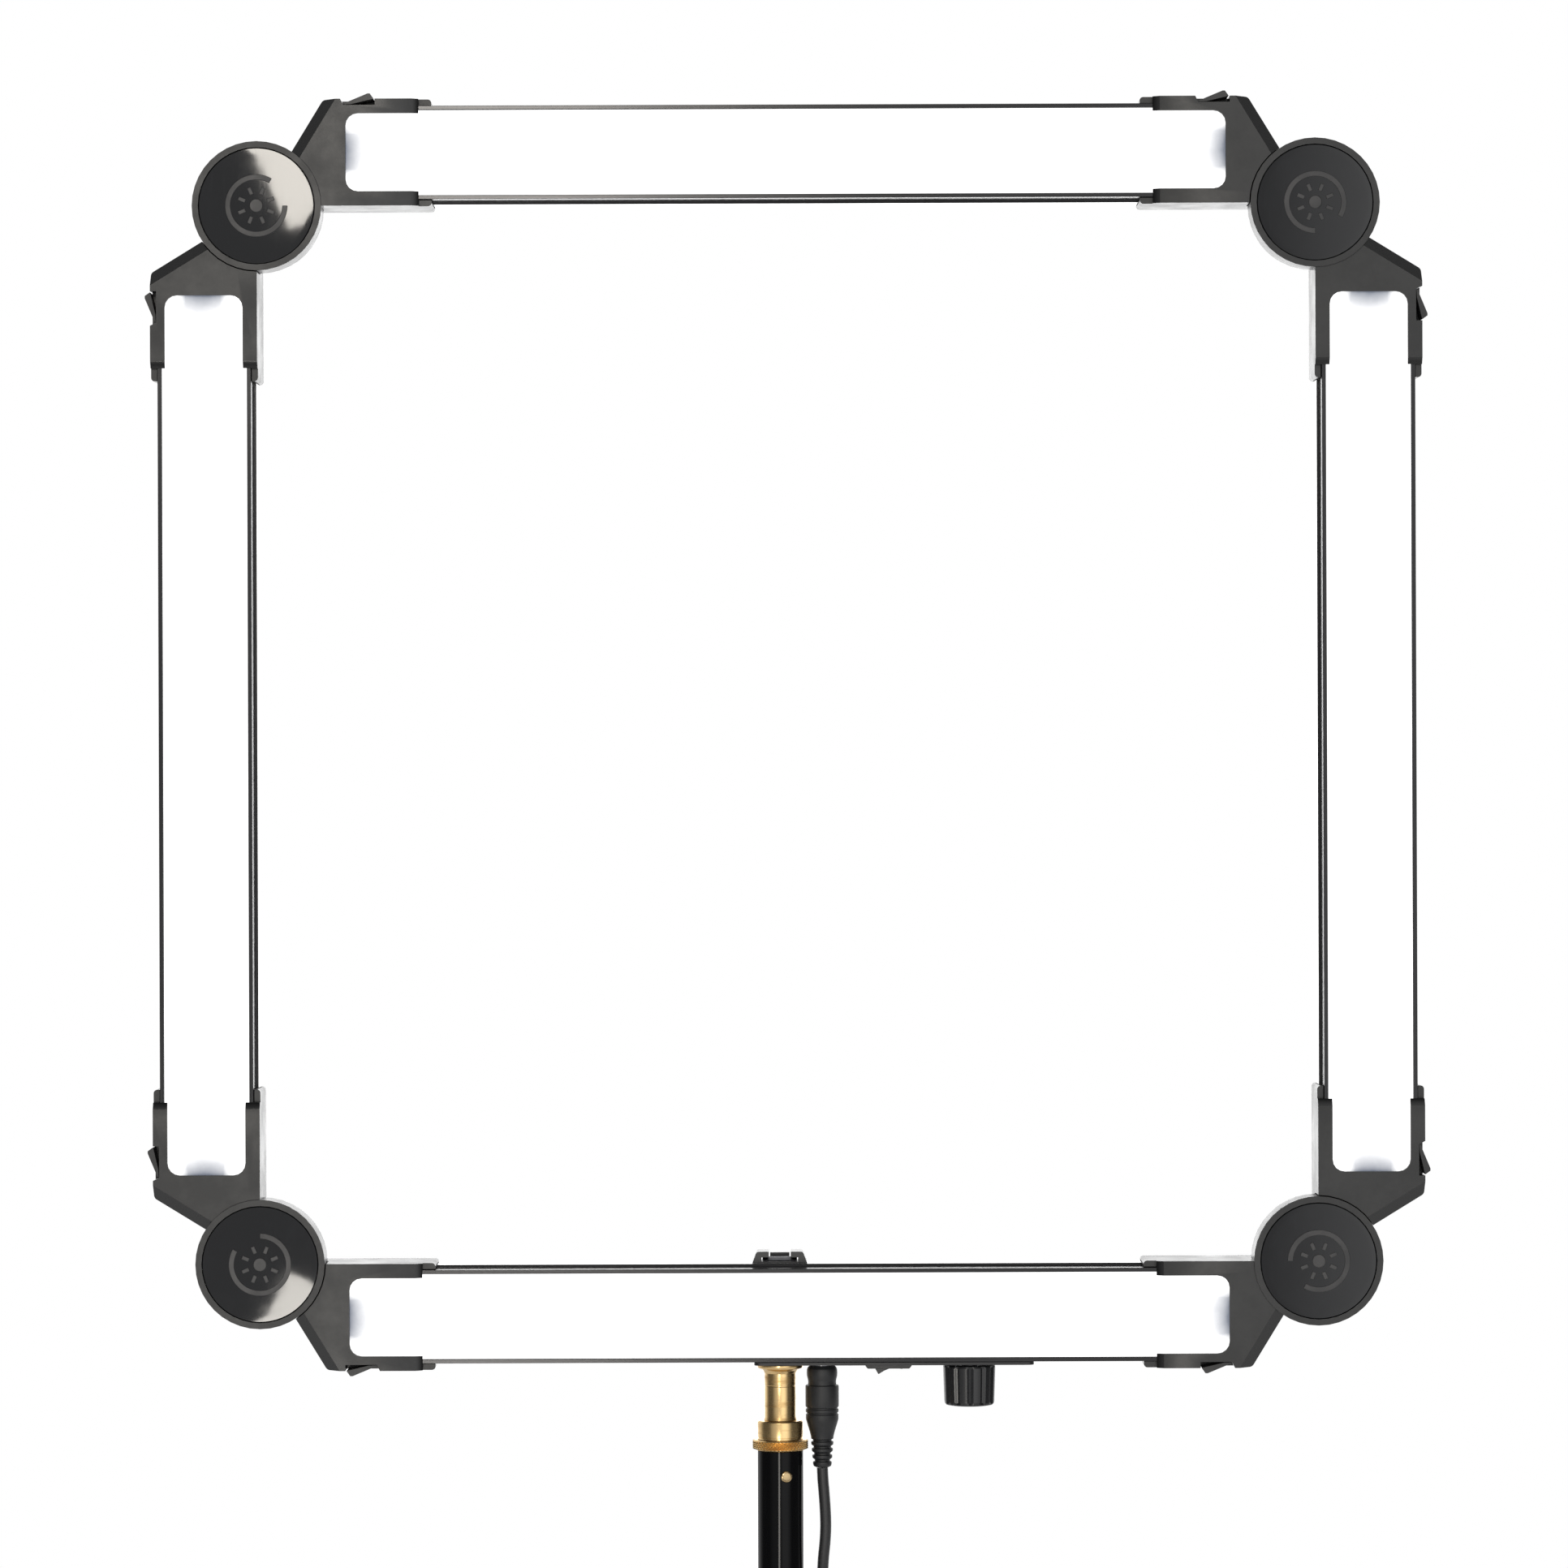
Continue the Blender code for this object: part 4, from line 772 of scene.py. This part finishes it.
class FRAMELIGHT_OT_knuckle_caps(bpy.types.Operator):
    """Make the four domed gloss caps, each with its embossed mark of a lamp"""
    bl_idname = "framelight.knuckle_caps"
    bl_label = "Knuckle caps"

    def execute(self, context):
        shapes, colours = context.scene.framelight_shapes, context.scene.framelight_colours
        low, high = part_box("top_knuckle_cap")
        radius, front = (high.x - low.x) / 2, -low.y
        cap_finish = gloss("cap_gloss", tuple(colours.cap))
        mark_finish = moulded("mark_satin", (0.034, 0.034, 0.036), 0.40, 0.15)
        rim = [(radius, -high.y), (radius, front - 0.0007), (radius * 0.996, front - 0.0002),
               (radius * 0.988, front)]
        dome = [(radius * share, front + shapes.cap_dome * (1 - share * share))
                for share in (0.97, 0.88, 0.76, 0.62, 0.46, 0.30, 0.16, 0.05)]
        cap = turned("cap_pattern", rim + dome, 96)
        mark = self.mark(shapes, radius, front)
        for bar, place in BARS.items():
            node = f"{bar}_knuckle_cap"
            stands_for(twin(cap, f"{node}_shape", place @ FACING_FRONT), node, cap_finish)
            own_mark = twin(mark, f"{bar}_cap_mark", place @ FACING_FRONT)
            fitted(own_mark, BODY_OF[node], mark_finish, "moulded_black")
        bpy.data.objects.remove(cap)
        bpy.data.objects.remove(mark)
        return {"FINISHED"}

    def mark(self, shapes, radius, front):
        """An open ring round a dot with eight short rays, standing a little proud of the dome."""
        outer, rise = shapes.mark_radius, 0.00034
        inner = outer - 0.0027

        def surface(at):
            return front + shapes.cap_dome * (1 - (at / radius) ** 2)

        top, bottom = surface(inner) + rise, surface(outer) - 0.0004
        deselect()
        bpy.ops.mesh.primitive_plane_add(size=1, location=((inner + outer) / 2, 0, (top + bottom) / 2),
                                         rotation=(math.radians(90), 0, 0))
        ring = bpy.context.object
        ring.scale = (outer - inner, top - bottom, 1)
        in_place(ring)
        bpy.ops.object.mode_set(mode="EDIT")
        bpy.ops.mesh.select_all(action="SELECT")
        bpy.ops.mesh.spin(steps=72, angle=math.radians(300), center=(0, 0, 0), axis=(0, 0, 1),
                          use_auto_merge=False)
        bpy.ops.mesh.select_all(action="SELECT")
        bpy.ops.mesh.remove_doubles(threshold=TINY)
        bpy.ops.mesh.normals_make_consistent(inside=False)
        bpy.ops.object.mode_set(mode="OBJECT")
        pieces = [eased(ring, 0.00025, 2)]
        dot_top = surface(0) + rise
        pieces.append(turned("dot", [(0.0031, surface(0.0031) - 0.0004), (0.0034, dot_top - 0.0003),
                                     (0.0031, dot_top)], 40))
        for ray in range(8):
            turn = Matrix.Rotation(math.radians(45 * ray + 22.5), 4, "Z")
            height = surface(0.0080) + rise
            bar = block("ray", (0.0060, -0.0010, height - 0.0008), (0.0098, 0.0010, height))
            pieces.append(in_place(eased(bar, 0.0003, 2), turn))
        return joined("mark_pattern", pieces)


class FRAMELIGHT_OT_light_bars(bpy.types.Operator):
    """Make the channels with eased edges and give the lit diffusers and boards their finish"""
    bl_idname = "framelight.light_bars"
    bl_label = "Light bars"

    def execute(self, context):
        edge = context.scene.framelight_shapes.metal_edge
        light = tuple(context.scene.framelight_colours.light)
        along = {"top": "X", "bottom": "X", "left": "Z", "right": "Z"}
        finishes = {axis: anodised(f"anodised_along_{axis.lower()}", axis) for axis in ("X", "Z")}
        leds = board("led_board", (0.80, 0.80, 0.77), (0.62, 0.60, 0.50), 0.008)
        for bar in BARS:
            stands_for(eased(copy_of(f"{bar}_channel"), edge, 2), f"{bar}_channel", finishes[along[bar]])
            dressed(f"{bar}_diffuser", opal(f"{bar}_opal", bar, light))
            dressed(f"{bar}_led_board", leds)
        return {"FINISHED"}


class FRAMELIGHT_OT_controls(bpy.types.Operator):
    """Make the control plate with its screws, the switch, the jack's ring and the fluted dimmer knob"""
    bl_idname = "framelight.controls"
    bl_label = "Controls"

    def execute(self, context):
        shapes = context.scene.framelight_shapes
        plate = painted("control_plate", (0.016, 0.016, 0.018), 0.42)
        black = moulded("switch_moulding", (0.020, 0.020, 0.021), 0.34, 0.15)
        stands_for(eased(copy_of("control_plate"), 0.0003, 2), "control_plate", plate)
        stands_for(eased(copy_of("power_switch_bezel"), 0.0003, 2), "power_switch_bezel", black)
        stands_for(eased(copy_of("power_switch_rocker"), 0.0004, 3), "power_switch_rocker",
                   moulded("rocker_moulding", (0.024, 0.024, 0.025), 0.30, 0.1))
        dressed("dc_jack", black)
        metal = steel("plated_steel")
        for node in ("dimmer_pot", "mount_insert"):
            dressed(node, metal)
        dressed("driver_board", board("driver_board", (0.015, 0.13, 0.055), (0.10, 0.30, 0.12), 0.006))
        self.jack_ring(metal)
        self.plate_screws(metal)
        self.knob(shapes)
        return {"FINISHED"}

    def jack_ring(self, metal):
        """The plated ring round the supply jack."""
        low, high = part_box("dc_jack")
        place = Matrix.Translation(((low.x + high.x) / 2, 0, low.z))
        ring = turned("jack_ring", [(0.0048, 0.0006), (0.0048, -0.0012), (0.0062, -0.0012), (0.0067, -0.0008),
                                    (0.0067, -0.00005), (0.0056, -0.00005), (0.0056, 0.0006)],
                      48, True, place)
        fitted(ring, "bottom_bar", metal, "steel")

    def plate_screws(self, metal):
        """Four countersunk screws with a cross recess, flush with the control plate."""
        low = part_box("control_plate")[0]
        head = turned("screw", [(0.0012, 0.0012), (0.0026, 0.0001), (0.0026, -0.0001), (0.0022, -0.00025),
                                (0.0010, -0.0003)], 32)
        cross_recessed(head, (-0.0016, -0.00035, -0.001), (0.0016, 0.00035, 0.0005))
        middle = (LEFT + RIGHT) / 2
        screws = [twin(head, "screw", Matrix.Translation((middle + along, across, low.z)))
                  for along in (0.0305, 0.1180) for across in (-0.0090, 0.0090)]
        bpy.data.objects.remove(head)
        fitted(joined("plate_screws", screws), "bottom_bar", metal, "steel")

    def knob(self, shapes):
        """Tapered knob with pressed flutes and a pointer line, drawn down from its top."""
        low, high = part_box("dimmer_knob")
        radius, height = 0.0134, high.z - low.z
        place = Matrix.Translation(((low.x + high.x) / 2, (low.y + high.y) / 2, high.z))
        stations = [(0.0058, -0.0022), (0.0060, -0.0001), (radius - 0.0012, 0), (radius - 0.0004, -0.0003),
                    (radius, -0.0011)]
        stations += [(radius - 0.0006 * share, -0.0011 - (height - 0.0032) * share)
                     for share in (0.02, 0.35, 0.7, 0.98)]
        stations += [(radius - 0.0006, -height + 0.0021), (radius - 0.0008, -height + 0.0012),
                     (radius - 0.0014, -height + 0.0006), (radius - 0.0022, -height + 0.0004),
                     (radius - 0.0030, -height + 0.0007), (0.0030, -height + 0.0007),
                     (0.0010, -height + 0.0006)]
        knob = turned("dimmer_knob_shape", stations, 144)
        pitch = 2 * math.pi / shapes.flute_count
        for half_width, inset in ((0.17, 0.975), (0.12, 0.965), (0.07, 0.985)):
            pick(knob, lambda at: (at.xy.length > radius - 0.0022 and -height + 0.0016 < at.z < -0.0008
                                   and abs((math.atan2(at.y, at.x) / pitch + 0.5) % 1 - 0.5) < half_width))
            bpy.ops.transform.resize(value=(inset, inset, 1), center_override=(0, 0, 0))
            bpy.ops.object.mode_set(mode="OBJECT")
        only(knob)
        bpy.ops.object.shade_smooth_by_angle(angle=math.radians(24))
        in_place(knob, place)
        stands_for(knob, "dimmer_knob", gloss("knob_gloss", (0.012, 0.0125, 0.014), 0.24, 0.12))
        line = block("knob_pointer", (-0.0005, -0.0115, 0.0004 - height), (0.0005, -0.0055, 0.0009 - height))
        in_place(eased(line, 0.0001, 2), place)
        fitted(line, "dimmer_knob", plain_resin("pointer_white", (0.8, 0.8, 0.78)), "led_board")


class FRAMELIGHT_OT_cold_shoe(bpy.types.Operator):
    """Make the accessory shoe with its rounded lips and its leaf spring"""
    bl_idname = "framelight.cold_shoe"
    bl_label = "Cold shoe"

    def execute(self, context):
        paint = painted("shoe_paint", (0.020, 0.020, 0.022), 0.34)
        low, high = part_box("cold_shoe")
        shoe = copy_of("cold_shoe")
        middle = (low.x + high.x) / 2
        pick(shoe, lambda at: abs(at.x - middle) > 0.0110 and at.z > high.z - 0.0001)
        bpy.ops.mesh.bevel(offset=0.0017, offset_type="OFFSET", segments=5, profile=0.5, affect="EDGES")
        bpy.ops.object.mode_set(mode="OBJECT")
        stands_for(eased(shoe, 0.00025, 2, 40.0), "cold_shoe", paint)
        self.spring(low, high, middle)
        return {"FINISHED"}

    def spring(self, low, high, middle):
        """Bowed leaf spring in the slot, which holds an accessory's foot against the lips."""
        deselect()
        bpy.ops.mesh.primitive_grid_add(x_subdivisions=2, y_subdivisions=12, size=1,
                                        location=(middle, (low.y + high.y) / 2 + 0.0008, low.z + 0.0010))
        spring = bpy.context.object
        spring.name = "shoe_spring"
        spring.scale = (0.0176, 0.0120, 1)
        in_place(spring)
        start, rows = (low.y + high.y) / 2 - 0.0052, 12
        for row in range(1, rows):
            pick(spring, lambda at: abs(at.y - start - 0.001 * row) < 0.0003)
            bpy.ops.transform.translate(value=(0, 0, 0.0015 * math.sin(math.pi * row / rows)))
            bpy.ops.object.mode_set(mode="OBJECT")
        apply_modifier(spring, "SOLIDIFY", thickness=0.0003, offset=1)
        spring_steel = steel("spring_steel", (0.10, 0.10, 0.11), 0.4)
        fitted(eased(spring, 0.0001, 1), "bottom_bar", spring_steel, "steel")


class FRAMELIGHT_OT_stand_fitting(bpy.types.Operator):
    """Make the brass stud, collar and knurled ring, the riser tube, its rivet and its bush"""
    bl_idname = "framelight.stand_fitting"
    bl_label = "Stand fitting"

    def execute(self, context):
        shapes, colours = context.scene.framelight_shapes, context.scene.framelight_colours
        turned_brass = brass("turned_brass", tuple(colours.brass))
        self.stud(turned_brass)
        self.collar(turned_brass)
        self.lock_ring(shapes, brass("knurled_brass", scaled(colours.brass, 1.12), True))
        self.riser()
        return {"FINISHED"}

    def stud(self, finish):
        """Turned stud: a shank for the insert, a flange and a waisted neck."""
        low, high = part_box("stand_stud")
        flange = high.z - 0.0105
        stations = [(0.0044, high.z), (0.00476, high.z - 0.0004), (0.00476, flange), (0.01135, flange),
                    (0.01155, flange - 0.0002), (0.01155, flange - 0.0013), (0.0113, flange - 0.0019),
                    (0.0105, flange - 0.0022), (0.0094, flange - 0.0027), (0.0087, flange - 0.0033),
                    (0.0083, flange - 0.0042), (0.00795, flange - 0.0046), (0.00795, flange - 0.0105),
                    (0.00780, flange - 0.0107), (0.00780, flange - 0.0111), (0.00795, flange - 0.0113),
                    (0.00795, flange - 0.0268), (0.0082, flange - 0.0276), (0.0084, flange - 0.0283),
                    (0.00795, flange - 0.0285), (0.00795, low.z + 0.001), (0.0070, low.z)]
        stands_for(turned("stand_stud_shape", stations, 80), "stand_stud", finish)

    def collar(self, finish):
        """Sleeve that the stud turns in, from its head down into the riser tube."""
        low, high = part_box("stand_collar")
        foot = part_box("lock_ring")[1].z + 0.0003
        stations = [(0.00828, high.z - 0.0004), (0.0090, high.z), (0.0110, high.z - 0.0001),
                    (0.0115, high.z - 0.0006), (0.0116, high.z - 0.0010), (0.0116, foot + 0.0012),
                    (0.0114, foot + 0.0010), (0.0114, foot + 0.0004), (0.0116, foot + 0.0002), (0.0116, foot),
                    (0.00945, foot),
                    (0.00945, low.z), (0.00825, low.z)]
        stands_for(turned("stand_collar_shape", stations, 80, True), "stand_collar", finish)

    def lock_ring(self, shapes, finish):
        """Ring with a diamond knurl: alternate points of its rows are pushed out."""
        low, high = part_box("lock_ring")
        radius, columns, rows = (high.x - low.x) / 2, shapes.knurl_count * 2, 4
        root = radius - 0.0011
        top, bottom = high.z - 0.0006, low.z + 0.0006
        band = [(root, top + (bottom - top) * row / rows) for row in range(rows + 1)]
        stations = [(0.0097, high.z), (root - 0.0006, high.z), (root, top + 0.0002)] + band + [
            (root, bottom - 0.0002), (root - 0.0006, low.z), (0.0097, low.z)]
        ring = turned("lock_ring_shape", stations, columns, True)

        def raised(at):
            row = (top - at.z) / (top - bottom) * rows
            column = math.atan2(at.y, at.x) / (2 * math.pi) * columns
            return (at.xy.length > root - 0.0001 and -0.1 < row < rows + 0.1
                    and (round(row) + round(column)) % 2 == 0)

        pick(ring, raised)
        push = radius / root
        bpy.ops.transform.resize(value=(push, push, 1), center_override=(0, 0, 0))
        bpy.ops.mesh.select_all(action="SELECT")
        bpy.ops.mesh.quads_convert_to_tris(quad_method="SHORTEST_DIAGONAL")
        bpy.ops.object.mode_set(mode="OBJECT")
        only(ring)
        bpy.ops.object.shade_flat()
        stands_for(ring, "lock_ring", finish)

    def riser(self):
        """Tube with the rivet that holds the collar in it, and the bush in its lower end."""
        low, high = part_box("stand_tube")
        stations = [(0.0100, high.z), (0.0115, high.z), (0.01175, high.z - 0.0003), (0.01175, low.z + 0.0003),
                    (0.0115, low.z), (0.00975, low.z), (0.00975, high.z - 0.0002)]
        tube_paint = painted("tube_gloss", (0.0040, 0.0040, 0.0045), 0.06, 0.04, 0.03, 0.12)
        stands_for(turned("stand_tube_shape", stations, 96, True), "stand_tube", tube_paint)
        rivet_low, rivet_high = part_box("tube_rivet")
        side = Matrix.Rotation(math.radians(15), 4, "Z") @ Matrix.Rotation(math.radians(90), 4, "X")
        place = Matrix.Translation((0, 0, (rivet_low.z + rivet_high.z) / 2)) @ side
        head = [(0.0016, 0.0086), (0.0016, 0.0117), (0.0029, 0.0117), (0.0029, 0.0121), (0.0026, 0.01255),
                (0.0021, 0.01275), (0.0019, 0.01262), (0.0010, 0.0127), (0.0004, 0.01272)]
        rivet = turned("tube_rivet_shape", head, 40, place=place)
        stands_for(rivet, "tube_rivet", brass("rivet_brass", (0.50, 0.37, 0.20)))
        bush_moulding = moulded("bush_moulding", (0.02, 0.02, 0.02))
        stands_for(eased(copy_of("riser_bush"), 0.0003, 2), "riser_bush", bush_moulding)


class FRAMELIGHT_OT_fasteners(bpy.types.Operator):
    """Make the pivot bolts' hexagon sockets and the screws at the forks' backs"""
    bl_idname = "framelight.fasteners"
    bl_label = "Fasteners"

    def execute(self, context):
        metal = steel("bolt_steel", (0.16, 0.16, 0.17), 0.32)
        black = steel("screw_steel", (0.10, 0.10, 0.105), 0.35)
        low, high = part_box("top_pivot_bolt")
        acetal = plain_resin("acetal", (0.72, 0.71, 0.67))
        bolt = self.bolt(low, high)
        screw = self.screw()
        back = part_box("top_lead_fork")[1].y
        for bar, place in BARS.items():
            node = f"{bar}_pivot_bolt"
            stands_for(twin(bolt, f"{node}_shape", place @ FACING_BACK), node, metal)
            dressed(f"{bar}_friction_washer", acetal)
            screws = [twin(screw, "screw", place @ Matrix.Translation((along, back, across)) @ FACING_BACK)
                      for along in (0.064, PITCH - 0.064) for across in (0.0110, 0.0430)]
            fitted(joined(f"{bar}_fork_screws", screws), f"{bar}_bar", black, "steel")
        bpy.data.objects.remove(bolt)
        bpy.data.objects.remove(screw)
        return {"FINISHED"}

    def bolt(self, low, high):
        """Shoulder bolt, drawn with its back end up: a flanged head with a hexagon socket."""
        back, front = high.y, low.y
        bolt = turned("bolt", [(0.0080, front), (0.0090, front + 0.0010), (0.0090, front + 0.0044),
                               (0.0040, front + 0.0044), (0.0040, back - 0.0044), (0.0088, back - 0.0044),
                               (0.0090, back - 0.0041), (0.0090, back - 0.0012), (0.0085, back - 0.0004),
                               (0.0076, back)], 64)
        deselect()
        bpy.ops.mesh.primitive_cylinder_add(vertices=6, radius=0.0046, depth=0.005, location=(0, 0, back))
        cut_by(bolt, in_place(bpy.context.object))
        return eased(bolt, 0.00015, 2)

    def screw(self):
        """Pan-head screw with a cross recess, drawn on the face it sits on."""
        head = turned("screw", [(0.0028, -0.0006), (0.0028, 0.0007), (0.0026, 0.0012), (0.0020, 0.0016),
                                (0.0010, 0.0018)], 32)
        return cross_recessed(head, (-0.0017, -0.0004, 0.0008), (0.0017, 0.0004, 0.003))


class FRAMELIGHT_PT_panel(bpy.types.Panel):
    """Lists the light's pieces and settings"""
    bl_label = "Frame light"
    bl_idname = "FRAMELIGHT_PT_panel"
    bl_space_type = "VIEW_3D"
    bl_region_type = "UI"
    bl_category = "Frame light"

    def draw(self, context):
        for operator in OPERATORS:
            self.layout.operator(operator.bl_idname)
        for group in (context.scene.framelight_shapes, context.scene.framelight_colours,
                      context.scene.framelight_stage):
            for name in type(group).__annotations__:
                self.layout.prop(group, name)


OPERATORS = (FRAMELIGHT_OT_stage, FRAMELIGHT_OT_supply_lead, FRAMELIGHT_OT_forks, FRAMELIGHT_OT_latches,
             FRAMELIGHT_OT_knuckle_caps, FRAMELIGHT_OT_light_bars, FRAMELIGHT_OT_controls,
             FRAMELIGHT_OT_cold_shoe, FRAMELIGHT_OT_stand_fitting, FRAMELIGHT_OT_fasteners)
GROUPS = {"framelight_shapes": FrameLightShapes, "framelight_colours": FrameLightColours,
          "framelight_stage": FrameLightStage}


def register():
    for item in (*GROUPS.values(), *OPERATORS, FRAMELIGHT_PT_panel):
        bpy.utils.register_class(item)
    for name, group in GROUPS.items():
        setattr(bpy.types.Scene, name, PointerProperty(type=group))


def unregister():
    for name in GROUPS:
        delattr(bpy.types.Scene, name)
    for item in (FRAMELIGHT_PT_panel, *reversed(OPERATORS), *reversed(GROUPS.values())):
        bpy.utils.unregister_class(item)


def main():
    register()
    deselect()
    bpy.ops.framelight.stage()
    bpy.ops.framelight.supply_lead()
    bpy.ops.framelight.forks()
    bpy.ops.framelight.latches()
    bpy.ops.framelight.knuckle_caps()
    bpy.ops.framelight.light_bars()
    bpy.ops.framelight.controls()
    bpy.ops.framelight.cold_shoe()
    bpy.ops.framelight.stand_fitting()
    bpy.ops.framelight.fasteners()


if __name__ == "__main__":
    main()
